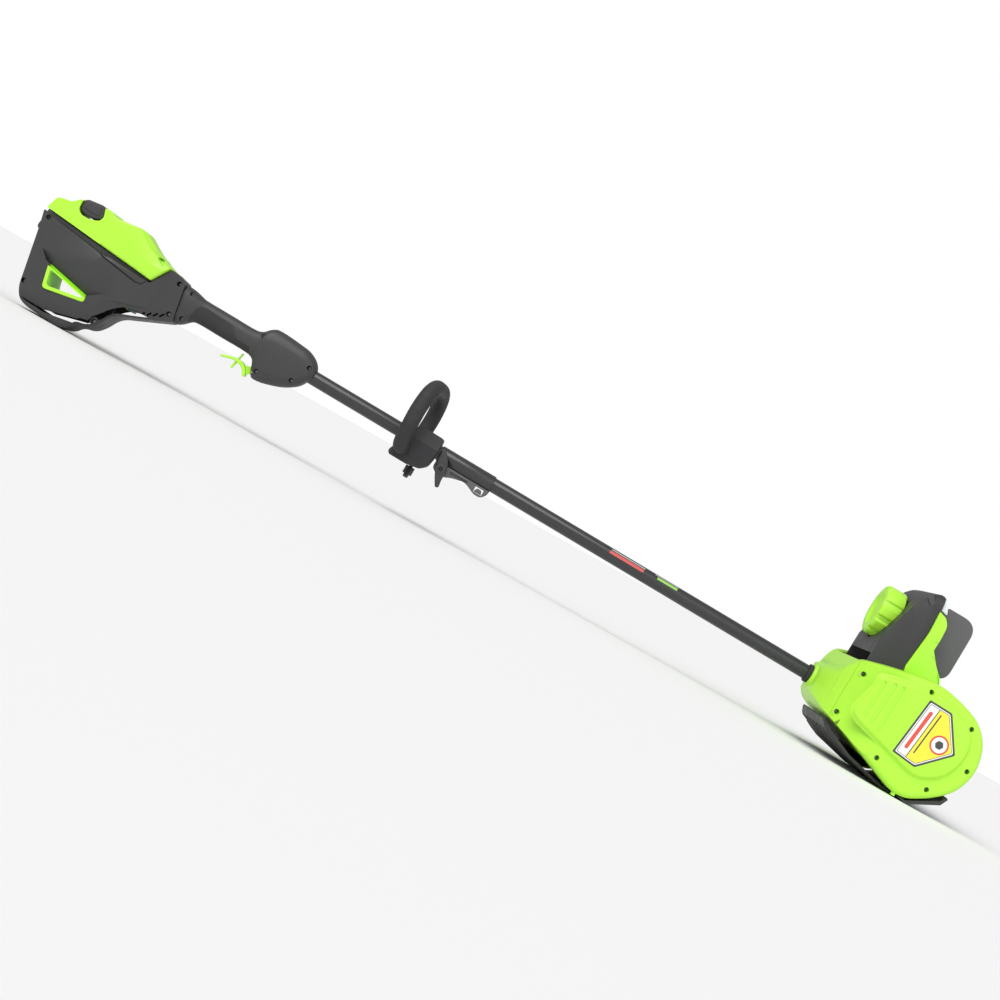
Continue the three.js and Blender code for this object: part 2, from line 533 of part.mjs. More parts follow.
function buildNeck(group) {
  const half = (sign) =>
    [[-200, 180], [-151 - GAP, 180], ...coverEdge(sign, GAP), [-81, innerFace(sign) - GAP]].map(([x, y]) => [x, sign * y]);
  const region = plan([...half(1), ...half(-1).reverse()], -130, 130);
  const shell = cut(headEnvelope(0), headEnvelope(WALL, 1)).intersect(region);
  const collar = [[NECK_X - 4, 0], [NECK_X - 4, 19.5], [NECK_X + 10, 24.5], [NECK_X + 40, 24.5], [NECK_X + 40, 0]];
  const socket = toSolid(
    new THREE.LatheGeometry(collar.map(([x, r]) => new THREE.Vector2(r, x)), 24).rotateZ(-Math.PI / 2),
  );
  const hoodFoot = box(-149, -76, -HOOD_HALF - 2, HOOD_HALF + 2, 55, 100);
  const bore = rod("x", TUBE_R + GAP, NECK_X - 40, NECK_X + 60, [0, 0], 24);
  piece(group, "neck_housing", cut(join(shell, socket), bore, hoodFoot), GREEN);
  piece(group, "tube_seal", ring("x", 15.5, TUBE_R + GAP, NECK_X - 11, NECK_X - 4 - GAP, [0, 0], 20), RUBBER);
}

function buildChamber(group) {
  const wall = [...arc([0, 0], SCROLL_R + 2, -38, -178, 18), [-77, 18], [-79, 51], [-108, 55.5]];
  const scroll = side(stroke(wall, 4), -DRIVE_WALL + 2, HEAD_HALF - 2);
  const cheek = [
    [-79, -64, 6], [-21, -85, 14], [3, -85, 16], [37, -63, 24], [62, -38, 24], [73, 0, 28], [62, 38, 24], [39, 63, 24],
    [6, 74, 18], [-38, 82, 20], [-100, 70, 10], [-100, 56, 2], [-76, 48, 2],
  ];
  const ends = [side(cheek, -DRIVE_WALL, -DRIVE_WALL + 4), side(cheek, HEAD_HALF - 4, HEAD_HALF)];
  const bearingWays = rod("y", 13 + GAP, -HEAD_HALF - 5, HEAD_HALF + 5, [0, 0], 20);
  piece(group, "rotor_chamber", cut(join(scroll, ...ends), bearingWays), CHARCOAL);

  const belly = [[-150, -48], [-144, -58], [-96, -78], [-30, -93.5], [-14, -93.5]];
  const skid = side(stroke(belly, 4), -DRIVE_WALL + 1, HEAD_HALF - 1).intersect(plan(inset(HEAD_PLAN, 10), -120, 0));
  piece(group, "skid_plate", skid, CHARCOAL);
  const scraper = [[-10, -92], [10, HEEL_LOW], [57, -71], [63, -58], [60, -56], [53, -66], [8, -91.5]];
  piece(group, "scraper_bar", side(scraper, -HEAD_HALF - 8, HEAD_HALF + 8), CHARCOAL);

  const deck = [[-80, 75.5], [-38, 83], [6, 75], [34, 67]];
  const deckPlate = side(stroke(deck, 3.5), -DRIVE_WALL + 4 + GAP, HEAD_HALF - 4 - GAP);
  const throat = box(-140, 8, -HOOD_HALF - 6, HOOD_HALF + 6, 40, 120);
  piece(group, "top_deck", cut(deckPlate, throat), GREEN);
}

function buildHood(group) {
  const profile = [
    [-141, 60, 2], [-129, 106, 20], [-109, 181, 14], [-100, 198, 10], [-89, 209, 8], [-77, 214.5, 5], [-72, 213, 2],
    [-70.5, 191, 2], [-74, 186, 3], [-70, 160, 12], [-76, 88, 2], [-76, 60, 1],
  ];
  const rounded = (points, low, width, top, radius) => {
    const across = end([[-width, 0], [width, 0], [width, top, radius], [-width, top, radius]], -130, 0);
    const above = plan([[low, -width, radius], [10, -width], [10, width], [low, width, radius]], 30, 230);
    return side(points, -width, width).intersect(across).intersect(above);
  };
  const outer = rounded(profile, -141, HOOD_HALF, 214.5, 26);
  const hollowOutline = [
    [-137, 40], [-125, 106, 20], [-105, 180, 14], [-96.5, 195, 10], [-86, 207, 6], [-30, 207], [-30, 40],
  ];
  const hollow = rounded(hollowOutline, -137, HOOD_HALF - 4, 207, 22);
  const floorX = KNOB.x + KNOB.depth + 2.5; // floor of the cup round the knob
  const cup = rod("x", KNOB.r + 7, -142, floorX + 4, [0, VANE.pivotZ], 24);
  const cupWell = rod("x", KNOB.r + 3.5, -170, floorX, [0, VANE.pivotZ], 24);
  const bosses = [-1, 1].map((s) => rod("x", 6, floorX + 1, -84, [s * VANE.pitch, VANE.pivotZ], 12));
  const bores = [-1, 1].map((s) => rod("x", 3.05, -92, -80, [s * VANE.pitch, VANE.pivotZ], 12));
  const shaftWay = rod("x", 4.05, -120, -80, [0, VANE.pivotZ], 12);
  const shell = cut(outer, hollow);
  const body = cut(join(shell, cup.intersect(outer.add(hollow)), ...bosses), cupWell, shaftWay, ...bores);
  piece(group, "chute_hood", body, CHARCOAL);

  [-1, 1].forEach((s) => {
    const trim = [
      [-71.6, 188.5, 1], [-58.6, 184.3, 3], [-50, 174, 8], [-48.4, 150, 10], [-49.3, 131, 2], [-34, 113, 2],
      [-17, 96, 2], [-14, 86, 1], [-73, 78, 1], [-75.4, 88, 1], [-69.6, 150, 8],
    ];
    const [low, high] = [s * (HOOD_HALF - 4), s * (HOOD_HALF + 3)].sort((a, b) => a - b);
    const keepOut = side(inset(profile, -GAP), -HOOD_HALF - 10, HOOD_HALF + 10);
    piece(group, s < 0 ? "chute_trim_right" : "chute_trim_left", cut(side(trim, low, high, { bevel: 1, steps: 1 }), keepOut), GREEN);
  });
  const glass = [[-71.5, 212.5, 1], [-64.5, 206.5, 3], [-56.8, 188.8, 3], [-70.1, 191.2, 1]];
  piece(group, "lamp_lens", side(glass, -HOOD_HALF + 6, HOOD_HALF - 6, { bevel: 2, steps: 1 }), LENS);
}

function buildVanes(group) {
  const { pitch, pivotZ, x0, x1, z0, z1, thick } = VANE;
  const plate = [[x0, z0, 8], [x1, z0, 22], [x1, z1, 26], [-54, z1, 3], [-54, 182, 2], [x0, 182, 6]];
  const names = ["vane_right", "vane_centre", "vane_left"];
  names.forEach((name, i) => {
    const y = (i - 1) * pitch;
    const shaftStart = i === 1 ? KNOB.x + 14 : -91;
    const shaftR = i === 1 ? 3.9 : 2.9;
    const shaft = rod("x", shaftR, shaftStart, x0 + 16, [y, pivotZ], 12);
    const linkHole = rod("x", 2.2, -200, 200, [y, z0 + 12], 10).intersect(box(x0 - 3, x0 + 6, -90, 90, 0, 200));
    const hub = rod("x", 6, x0 - 0.5, x0 + 22, [y, pivotZ], 12);
    const ear = box(x0 - 2, x0 + 4, y - 4.5, y + 4.5, z0 + 6, z0 + 18);
    const body = join(side(plate, y - thick / 2, y + thick / 2), hub, shaft);
    piece(group, name, cut(body.add(ear), linkHole), GREY);
  });
  const barX = x0 - 5;
  const bar = end([[-pitch - 6, z0 + 8, 3], [pitch + 6, z0 + 8, 3], [pitch + 6, z0 + 16, 3], [-pitch - 6, z0 + 16, 3]], barX, barX + 2.6);
  const pins = [-1, 0, 1].map((i) => rod("x", 1.9, barX + 1, x0 + 3, [i * pitch, z0 + 12], 10));
  piece(group, "vane_tie_bar", join(bar, ...pins), CHARCOAL);
}

// The reach of the knob's edge at an angle: round, with evenly spaced finger notches.
function knobReach(angle, radius) {
  const notches = 10;
  const notchDepth = 3;
  const halfNotch = THREE.MathUtils.degToRad(6);
  const pitch = (2 * Math.PI) / notches;
  const offset = Math.abs((((angle % pitch) + pitch) % pitch) - pitch / 2);
  return offset < halfNotch ? radius - notchDepth : radius;
}

function buildKnob(group) {
  const around = 60;
  const slice = (x, radius) =>
    Array.from({ length: around }, (_, i) => {
      const angle = (2 * Math.PI * (i + 0.5)) / around;
      const reach = knobReach(angle, radius);
      return new THREE.Vector3(x, reach * Math.cos(angle), VANE.pivotZ + reach * Math.sin(angle));
    });
  const { x, depth, r } = KNOB;
  const body = loft([slice(x, r - 5), slice(x + 4, r), slice(x + depth - 5, r), slice(x + depth, r - 3)]);
  const dish = rod("x", 27, x - 1, x + 5, [0, VANE.pivotZ], 20);
  const shaftWay = rod("x", 4.2, x + 13.7, x + 60, [0, VANE.pivotZ], 12);
  piece(group, "direction_knob", cut(body, dish, shaftWay), GREEN);
}

function buildRotor(group) {
  const middle = (HEAD_HALF - DRIVE_WALL) / 2;
  const half = (HEAD_HALF + DRIVE_WALL) / 2 - 12;
  piece(group, "rotor_shaft", rod("y", 7, BELT_Y[0] - 4, HEAD_HALF + 6, [0, 0], 14), STEEL);
  piece(group, "rotor_hub", ring("y", 17, 7 + GAP, middle - half, middle + half, [0, 0], 18), CHARCOAL);
  const sweepAngles = [0, 12, 22, 30];
  [0, 180].forEach((turn, i) => {
    const stations = [-half, -half / 2, 0, half / 2, half];
    const rings = stations.map((station) => {
      const lead = 26 * (1 - Math.abs(station) / half);
      const y = middle + station;
      const radii = [17.9, 34, 52, ROTOR_R];
      const edge = (offset) =>
        radii.map((r, k) => {
          const angle = THREE.MathUtils.degToRad(turn + lead + sweepAngles[k]) + offset / r;
          return new THREE.Vector3(r * Math.cos(angle), y, r * Math.sin(angle));
        });
      return [...edge(3), ...edge(-3).reverse()];
    });
    piece(group, `paddle_${i + 1}`, loft(rings), RUBBER);
  });
  [-1, 1].forEach((s) => {
    const face = innerFace(s);
    const [low, high] = [s * (face - 6), s * (face + 1)].sort((a, b) => a - b);
    piece(group, s < 0 ? "bearing_right" : "bearing_left", ring("y", 13, 7 + GAP, low, high, [0, 0], 20), STEEL);
  });
}

function buildDrive(group) {
  const centre = [MOTOR.x, MOTOR.z];
  const can = rod("y", MOTOR.r, MOTOR.y0, MOTOR.y1, centre, 24);
  const inside = rod("y", MOTOR.r - 4, MOTOR.y0 + 4, MOTOR.y1 - 4, centre, 18);
  const nose = rod("y", 7, MOTOR.y0 - 1, MOTOR.y0 + 5, centre, 16);
  piece(group, "motor_case", cut(can, inside, nose, rod("y", 5, MOTOR.y1 - 5, MOTOR.y1 + 1, centre, 12)), STEEL);
  const core = rod("y", MOTOR.r - 7, MOTOR.y0 + 7, MOTOR.y1 - 7, centre, 18);
  const spindle = rod("y", 4, BELT_Y[0] - 2, MOTOR.y1 + 3, centre, 12);
  piece(group, "motor_rotor", join(core, spindle), COPPER);
  const [y0, y1] = BELT_Y;
  piece(group, "drive_pulley", ring("y", PULLEY_R.drive, 4 + GAP, y0, y1, centre, 18), STEEL);
  piece(group, "driven_pulley", ring("y", PULLEY_R.driven, 7 + GAP, y0, y1, [0, 0], 28), CHARCOAL);
  piece(group, "drive_belt", beltLoop(3.2, y0 + 0.5, y1 - 0.5).subtract(beltLoop(0.4, y0 - 2, y1 + 2)), RUBBER);
}

// The outline round both pulleys at a distance outside them, extruded along Y.
function beltLoop(distance, y0, y1) {
  const span = Math.hypot(MOTOR.x, MOTOR.z);
  const lean = THREE.MathUtils.radToDeg(Math.asin((PULLEY_R.driven - PULLEY_R.drive) / span));
  const heading = THREE.MathUtils.radToDeg(Math.atan2(MOTOR.z, MOTOR.x));
  const small = arc([MOTOR.x, MOTOR.z], PULLEY_R.drive + distance, heading - 90 + lean, heading + 90 - lean, 10);
  const large = arc([0, 0], PULLEY_R.driven + distance, heading + 90 - lean, heading + 270 + lean, 22);
  return side([...small, ...large], y0, y1);
}

// ---------------------------------------------------------------- assemble
const powerhead = assembly(COLLAR_X);
buildBattery(powerhead);
buildRearHousing(powerhead);
buildGrip(powerhead);
buildShaft();
buildLoopHandle();
buildCoupler();
const head = assembly(HEAD_X);
buildNeck(head);
buildSideCovers(head);
buildChamber(head);
const chute = assembly(CHUTE_X, head);
buildHood(chute);
buildVanes(chute);
buildKnob(chute);
buildRotor(head);
buildDrive(head);

// Lay the tool on the ground and put the origin under the middle of its bounding box.
tool.rotation.y = TILT;
const snowShovel = new THREE.Group();
snowShovel.add(tool);
snowShovel.updateMatrixWorld(true);
const bounds = new THREE.Box3().setFromObject(snowShovel, true);
const middle = bounds.getCenter(new THREE.Vector3());
tool.position.set(-middle.x, -middle.y, -bounds.min.z);

export default snowShovel;
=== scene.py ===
"""Looks of the battery power snow shovel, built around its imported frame.

Outlines are in millimetres in the tool's own frame: +X runs along the shaft towards the head, +Z is up
and the datum is where the two tubes meet inside the coupler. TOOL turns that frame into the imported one.
"""

import json
import math

import bmesh
import bpy
from mathutils import Matrix, Vector

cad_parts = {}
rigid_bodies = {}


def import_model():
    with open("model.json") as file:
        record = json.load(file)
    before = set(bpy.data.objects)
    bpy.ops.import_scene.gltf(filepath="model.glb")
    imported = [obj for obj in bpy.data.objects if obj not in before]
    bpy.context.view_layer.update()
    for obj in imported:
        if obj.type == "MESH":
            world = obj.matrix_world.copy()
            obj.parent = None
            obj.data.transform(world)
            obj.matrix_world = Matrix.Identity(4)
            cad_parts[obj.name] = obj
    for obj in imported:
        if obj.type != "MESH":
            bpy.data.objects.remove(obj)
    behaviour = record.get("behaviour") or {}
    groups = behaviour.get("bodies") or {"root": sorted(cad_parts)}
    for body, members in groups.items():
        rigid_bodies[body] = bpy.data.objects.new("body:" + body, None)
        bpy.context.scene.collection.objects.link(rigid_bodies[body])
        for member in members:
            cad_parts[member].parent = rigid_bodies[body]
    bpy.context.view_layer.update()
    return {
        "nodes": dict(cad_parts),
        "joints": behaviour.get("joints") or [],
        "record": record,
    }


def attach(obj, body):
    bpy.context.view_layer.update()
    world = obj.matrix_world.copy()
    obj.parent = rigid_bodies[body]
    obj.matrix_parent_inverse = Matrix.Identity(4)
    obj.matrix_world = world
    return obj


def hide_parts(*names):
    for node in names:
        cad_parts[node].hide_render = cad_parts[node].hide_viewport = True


for leftover in list(bpy.data.objects):
    bpy.data.objects.remove(leftover, do_unlink=True)

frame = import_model()
joints = {joint["name"]: joint for joint in frame["joints"]}

# ---------------------------------------------------------------- driving dimensions, in millimetres
MM = 0.001
GAP = 0.3
WALL = 3
TUBE_R = 12
COLLAR_X = -530  # joint between rear housing and grip
GRIP_END = 242  # grip length ahead of that joint
LOOP_X = -102
SLEEVE_R, SLEEVE_HALF = 13.8, 49.5
HEAD_X = 833  # rotor axis
CHUTE_X = -6  # line that the hood, vanes and knob are drawn from, behind the rotor axis
HEAD_HALF, DRIVE_WALL, COVER_HALF = 148, 130, 166
ROTOR_R, SCROLL_R = 68, 73
HOOD_HALF = 85
KNOB_X, KNOB_DEPTH, KNOB_R = -145, 34, 43
NECK_X = -182

# ---------------------------------------------------------------- the tool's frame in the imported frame
along = Vector(joints["coupler_pull"]["axis"]).normalized()
across = Vector(joints["rotor_spin"]["axis"]).normalized()
upward = along.cross(across)
datum = Vector(joints["rotor_spin"]["pos_m"]) - along * HEAD_X * MM
TOOL = Matrix((along, across, upward)).transposed().to_4x4()
TOOL.translation = datum

# ---------------------------------------------------------------- meshes and booleans


def new_object(name, mesh):
    obj = bpy.data.objects.new(name, mesh)
    bpy.context.scene.collection.objects.link(obj)
    return obj


def from_bmesh(bm, name="solid"):
    bmesh.ops.recalc_face_normals(bm, faces=bm.faces)
    mesh = bpy.data.meshes.new(name)
    bm.to_mesh(mesh)
    bm.free()
    return new_object(name, mesh)


def bake(obj):
    graph = bpy.context.evaluated_depsgraph_get()
    mesh = bpy.data.meshes.new_from_object(obj.evaluated_get(graph))
    obj.modifiers.clear()
    obj.data = mesh
    return obj


def combine(base, tools, operation):
    for tool in tools:
        step = base.modifiers.new(operation, "BOOLEAN")
        step.object, step.operation, step.solver = tool, operation, "MANIFOLD"
    bake(base)
    for tool in tools:
        bpy.data.objects.remove(tool, do_unlink=True)
    return base


def cut(base, *tools):
    return combine(base, tools, "DIFFERENCE")


def join(base, *tools):
    return combine(base, tools, "UNION")


def common(base, *tools):
    return combine(base, tools, "INTERSECT")


def copy(obj):
    return new_object(obj.name, obj.data.copy())


def moved(obj, x=0, y=0, z=0):
    obj.data.transform(Matrix.Translation((x, y, z)))
    return obj


# ---------------------------------------------------------------- outlines
def polygon(points, segments):
    """The polygon of [a, b, corner radius] points, with rounded corners."""
    found = []
    for i, (a, b, *radius) in enumerate(points):
        here = Vector((a, b))
        if not radius or radius[0] == 0:
            found.append(here)
            continue
        before = Vector(points[i - 1][:2]) - here
        after = Vector(points[(i + 1) % len(points)][:2]) - here
        reach = min(max(radius[0], 0.2), before.length / 2.1, after.length / 2.1)
        start, end = here + before.normalized() * reach, here + after.normalized() * reach
        for k in range(segments + 1):
            t = k / segments
            found.append(start * (1 - t) ** 2 + here * 2 * t * (1 - t) + end * t * t)
    return found


def inset(points, distance):
    """An outline moved inwards by a distance."""
    area = sum(a[0] * b[1] - b[0] * a[1] for a, b in zip(points, points[1:] + points[:1]))
    side = math.copysign(distance, area * distance)
    moved_points = []
    for i, (a, b, *radius) in enumerate(points):
        here = Vector((a, b))
        u = (here - Vector(points[i - 1][:2])).normalized()
        v = (Vector(points[(i + 1) % len(points)][:2]) - here).normalized()
        scale = side / max(0.35, 1 + u.dot(v))
        moved_points.append([a - (u.y + v.y) * scale, b + (u.x + v.x) * scale, *radius])
    return moved_points


def stroke(path, thickness):
    """A thick line: outline points on both sides of an open path."""
    sides = ([], [])
    for i, (a, b) in enumerate(path):
        before, after = path[max(0, i - 1)], path[min(len(path) - 1, i + 1)]
        normal = Vector((before[1] - after[1], after[0] - before[0])).normalized() * thickness / 2
        sides[0].append([a + normal.x, b + normal.y])
        sides[1].append([a - normal.x, b - normal.y])
    return sides[0] + sides[1][::-1]


def arc(centre, radius, start, end, steps):
    angles = [math.radians(start + (end - start) * i / steps) for i in range(steps + 1)]
    return [[centre[0] + radius * math.cos(t), centre[1] + radius * math.sin(t)] for t in angles]


def slot(a, b, half):
    """A bar with round ends, from a to b, with the given half width."""
    turn = math.degrees(math.atan2(b[1] - a[1], b[0] - a[0]))
    return arc(b, half, turn - 90, turn + 90, 8) + arc(a, half, turn + 90, turn + 270, 8)


def smooth(stations, count):
    """Catmull-Rom through stations of equal length lists, resampled evenly by their index."""
    last = len(stations) - 1
    found = []
    for k in range(count + 1):
        t = last * k / count
        i = min(int(t), last - 1)
        f = t - i
        p = [stations[max(0, min(last, j))] for j in (i - 1, i, i + 1, i + 2)]
        found.append([
            0.5 * (2 * b + (c - a) * f + (2 * a - 5 * b + 4 * c - d) * f**2 + (3 * b - a - 3 * c + d) * f**3)
            for a, b, c, d in zip(*p)
        ])
    return found


# ---------------------------------------------------------------- solids
FACING = {
    "side": lambda a, b, depth: (a, depth, b),
    "plan": lambda a, b, depth: (a, b, depth),
    "end": lambda a, b, depth: (depth, a, b),
}


def loft(rings):
    bm = bmesh.new()
    rows = [[bm.verts.new(point) for point in ring] for ring in rings]
    count = len(rows[0])
    for low, high in zip(rows, rows[1:]):
        for i in range(count):
            j = (i + 1) % count
            bm.faces.new((low[i], low[j], high[j], high[i]))
    bm.faces.new(rows[0][::-1])
    bm.faces.new(rows[-1])
    return from_bmesh(bm)


def extrude(facing, points, low, high, bevel=0, steps=4, segments=6):
    """Extrudes an outline between two depths; a bevel rounds the edges of both end faces."""
    place = FACING[facing]
    if bevel == 0:
        layers = [(0, low), (0, high)]
    else:
        turns = [math.pi / 2 * i / steps for i in range(steps + 1)]
        edge = [(bevel * (1 - math.sin(t)), bevel * (1 - math.cos(t))) for t in turns]
        layers = [(d, low + h) for d, h in edge] + [(d, high - h) for d, h in reversed(edge)]
    rings = []
    for distance, depth in layers:
        shape = polygon(inset(points, distance) if distance else points, segments)
        rings.append([place(p[0], p[1], depth) for p in shape])
    return loft(rings)


def hull(points):
    bm = bmesh.new()
    for point in points:
        bm.verts.new(point)
    found = bmesh.ops.convex_hull(bm, input=bm.verts)
    spare = {
        item for item in found["geom_interior"] + found["geom_unused"] if isinstance(item, bmesh.types.BMVert)
    }
    bmesh.ops.delete(bm, geom=list(spare), context="VERTS")
    return from_bmesh(bm)


def slopes(lines, outside=120):
    """Wedges for both sides that cut a side face back to flat slopes between lines of [x, z, half width]."""
    wedges = []
    for near, far in zip(lines, lines[1:]):
        for i in range(len(near) - 1):
            corners = (near[i], near[i + 1], far[i], far[i + 1])
            for s in (-1, 1):
                inner = [(x, s * half_width, z) for x, z, half_width in corners]
                wedges.append(hull(inner + [(x, s * outside, z) for x, z, _ in corners]))
    return wedges


def plateau(points, sign, foot, face, rise, width):
    """A raised panel on a side face: its edge climbs to a flat top in an S curve."""
    steps = 8
    rings = [[(p[0], sign * foot, p[1]) for p in polygon(points, 6)]]
    for k in range(steps + 1):
        t = k / steps
        depth = sign * (face + rise * (3 * t**2 - 2 * t**3))
        rings.append([(p[0], depth, p[1]) for p in polygon(inset(points, width * t), 6)])
    return loft(rings)


def lathe(profile, sides=96):
    """A body turned about the shaft axis, from [x, radius] points."""
    turns = [2 * math.pi * k / sides for k in range(sides)]
    return loft([[(x, r * math.cos(t), r * math.sin(t)) for t in turns] for x, r in profile])


def side(points, y0, y1, **options):
    return extrude("side", points, y0, y1, **options)


def plan(points, z0, z1, **options):
    return extrude("plan", points, z0, z1, **options)


def end(points, x0, x1, **options):
    return extrude("end", points, x0, x1, **options)


def box(x0, x1, y0, y1, z0, z1):
    return plan([[x0, y0], [x1, y0], [x1, y1], [x0, y1]], z0, z1)


def rod(axis, radius, low, high, centre=(0, 0), sides=48, bevel=0):
    facing = {"x": "end", "y": "side", "z": "plan"}[axis]
    ring = arc(centre, radius, 0, 360 - 360 / sides, sides - 1)
    return extrude(facing, ring, low, high, bevel=bevel, steps=3)


def ring(axis, outer, inner, low, high, centre=(0, 0), sides=64, bevel=0):
    return cut(
        rod(axis, outer, low, high, centre, sides, bevel), rod(axis, inner, low - 5, high + 5, centre, sides),
    )


# ---------------------------------------------------------------- materials
class Shading:
    """A procedural material: object-space noise feeds colour, roughness and bump."""

    def __init__(self, name, colour, roughness, metallic=0.0):
        self.material = bpy.data.materials.new(name)
        self.material.use_nodes = True
        self.tree = self.material.node_tree
        self.shader = self.tree.nodes["Principled BSDF"]
        self.shader.inputs["Metallic"].default_value = metallic
        self.shader.inputs["Roughness"].default_value = roughness
        self.shader.inputs["Base Color"].default_value = (*colour, 1)
        self.colour, self.roughness = colour, roughness
        self.place = self.tree.nodes.new("ShaderNodeTexCoord").outputs["Object"]
        self.height = None

    def noise(self, scale, detail=3.0, stretch=(1, 1, 1)):
        mapping = self.tree.nodes.new("ShaderNodeMapping")
        mapping.inputs["Scale"].default_value = stretch
        texture = self.tree.nodes.new("ShaderNodeTexNoise")
        texture.inputs["Scale"].default_value = scale
        texture.inputs["Detail"].default_value = detail
        self.tree.links.new(self.place, mapping.inputs["Vector"])
        self.tree.links.new(mapping.outputs["Vector"], texture.inputs["Vector"])
        return texture.outputs["Fac"]

    def spread(self, source, low, high, out_low, out_high):
        node = self.tree.nodes.new("ShaderNodeMapRange")
        for socket, value in zip(
            ("From Min", "From Max", "To Min", "To Max"), (low, high, out_low, out_high)
        ):
            node.inputs[socket].default_value = value
        self.tree.links.new(source, node.inputs["Value"])
        return node.outputs["Result"]

    def tint(self, source, colour, strength):
        """Mixes another colour over the base where the source is high."""
        mix = self.tree.nodes.new("ShaderNodeMix")
        mix.data_type = "RGBA"
        fac = self.spread(source, 0.0, 1.0, 0.0, strength)
        self.tree.links.new(fac, mix.inputs["Factor"])
        base = self.shader.inputs["Base Color"]
        if base.is_linked:
            self.tree.links.new(base.links[0].from_socket, mix.inputs["A"])
        else:
            mix.inputs["A"].default_value = (*self.colour, 1)
        mix.inputs["B"].default_value = (*colour, 1)
        self.tree.links.new(mix.outputs["Result"], base)

    def vary_roughness(self, source, amount):
        low, high = self.roughness - amount, self.roughness + amount
        self.tree.links.new(self.spread(source, 0.3, 0.7, low, high), self.shader.inputs["Roughness"])

    def bump(self, source, distance, strength=1.0):
        node = self.tree.nodes.new("ShaderNodeBump")
        node.inputs["Distance"].default_value = distance
        node.inputs["Strength"].default_value = strength
        self.tree.links.new(source, node.inputs["Height"])
        if self.height:
            self.tree.links.new(self.height, node.inputs["Normal"])
        self.height = node.outputs["Normal"]
        self.tree.links.new(self.height, self.shader.inputs["Normal"])


def moulded(name, colour, roughness, grain, light, dark):
    """Injection-moulded plastic: spark-eroded grain, faint flow marks and fine scuffs."""
    look = Shading(name, colour, roughness)
    look.tint(look.spread(look.noise(9, 4), 0.42, 0.7, 0, 1), dark, 0.35)
    look.tint(look.spread(look.noise(420, 2, (1, 1, 0.25)), 0.66, 0.74, 0, 1), light, 0.22)
    look.vary_roughness(look.noise(60, 4), 0.07)
    look.bump(look.noise(1500, 2), grain)
    look.bump(look.noise(14, 2), 0.0004, 0.3)
    return look.material


def shade(colour, factor):
    return tuple(min(1, c * factor) for c in colour)


GREEN_RGB = (0.44, 0.87, 0.045)
CHARCOAL_RGB = (0.036, 0.036, 0.037)
HOOD_RGB = (0.03, 0.03, 0.031)
GREY_RGB = (0.1, 0.1, 0.102)

green = moulded("green_plastic", GREEN_RGB, 0.36, 0.00002, shade(GREEN_RGB, 1.15), shade(GREEN_RGB, 0.88))
charcoal = moulded(
    "charcoal_plastic", CHARCOAL_RGB, 0.5, 0.00005, shade(CHARCOAL_RGB, 1.7), shade(CHARCOAL_RGB, 0.75)
)
hood_plastic = moulded("hood_plastic", HOOD_RGB, 0.5, 0.00005, shade(HOOD_RGB, 1.7), shade(HOOD_RGB, 0.75))
grey = moulded("grey_plastic", GREY_RGB, 0.45, 0.00003, shade(GREY_RGB, 1.4), shade(GREY_RGB, 0.8))


def rubber_material(name, colour, roughness, grain):
    look = Shading(name, colour, roughness)
    look.tint(look.spread(look.noise(30, 5), 0.45, 0.7, 0, 1), shade(colour, 1.7), 0.4)
    look.vary_roughness(look.noise(110, 3), 0.06)
    look.bump(look.noise(900, 3), grain)
    look.shader.inputs["Specular IOR Level"].default_value = 0.35
    return look.material


rubber = rubber_material("soft_grip_rubber", (0.028, 0.028, 0.03), 0.68, 0.00008)


def tube_material():
    look = Shading("painted_tube", (0.03, 0.03, 0.032), 0.36, 0.3)
    look.tint(look.spread(look.noise(700, 2), 0.55, 0.75, 0, 1), (0.09, 0.09, 0.095), 0.3)
    look.vary_roughness(look.noise(25, 4, (0.2, 1, 1)), 0.05)
    look.bump(look.noise(2200, 2), 0.00001)
    look.shader.inputs["Coat Weight"].default_value = 0.35
    look.shader.inputs["Coat Roughness"].default_value = 0.15
    return look.material


def steel_material(name="bare_steel", colour=(0.55, 0.56, 0.58), roughness=0.3):
    look = Shading(name, colour, roughness, 0.95)
    look.tint(look.spread(look.noise(40, 5), 0.5, 0.72, 0, 1), shade(colour, 0.6), 0.4)
    look.vary_roughness(look.noise(300, 3, (1, 0.1, 1)), 0.1)
    look.bump(look.noise(900, 2, (1, 0.06, 1)), 0.00002)
    return look.material


def lens_material():
    # Painted reflection: the pale bluish-white base colour and the grey streaks mixed in below stand for the
    # bright look of a clear, glossy lens; the ribbed bump is real shape.
    look = Shading("lamp_lens", (0.86, 0.9, 0.93), 0.12)
    look.tint(look.noise(160, 2, (0.1, 1, 0.1)), (0.5, 0.55, 0.6), 0.5)
    look.bump(look.noise(220, 1, (0.05, 1, 0.05)), 0.0003, 0.6)
    look.shader.inputs["Coat Weight"].default_value = 0.6
    return look.material


def printed(name, colour):
    look = Shading(name, colour, 0.3)
    look.tint(look.spread(look.noise(200, 3), 0.5, 0.8, 0, 1), shade(colour, 0.8), 0.25)
    look.bump(look.noise(700, 2), 0.00001)
    return look.material


def cast_board(name, colour):
    look = Shading(name, colour, 0.4)
    look.tint(look.spread(look.noise(260, 1), 0.55, 0.6, 0, 1), (0.5, 0.42, 0.12), 0.6)
    look.bump(look.noise(400, 1), 0.0002)
    return look.material


tube_paint = tube_material()
steel = steel_material()
dark_steel = steel_material("screw_steel", (0.2, 0.2, 0.205), 0.32)
copper = steel_material("copper_core", (0.62, 0.33, 0.16), 0.35)
lens = lens_material()
board = cast_board("board", (0.03, 0.14, 0.06))
BY_SLOT = {
    "green_plastic": green, "charcoal_plastic": charcoal, "grey_plastic": grey, "black_rubber": rubber,
    "painted_tube": tube_paint, "bare_steel": steel, "copper_core": copper, "board": board, "lamp_lens": lens,
}
slot_of_node = {part["node"]: part["material_slot"] for part in frame["record"]["subparts"]}
body_of_node = {
    node: body for body, nodes in frame["record"]["behaviour"]["bodies"].items() for node in nodes
}


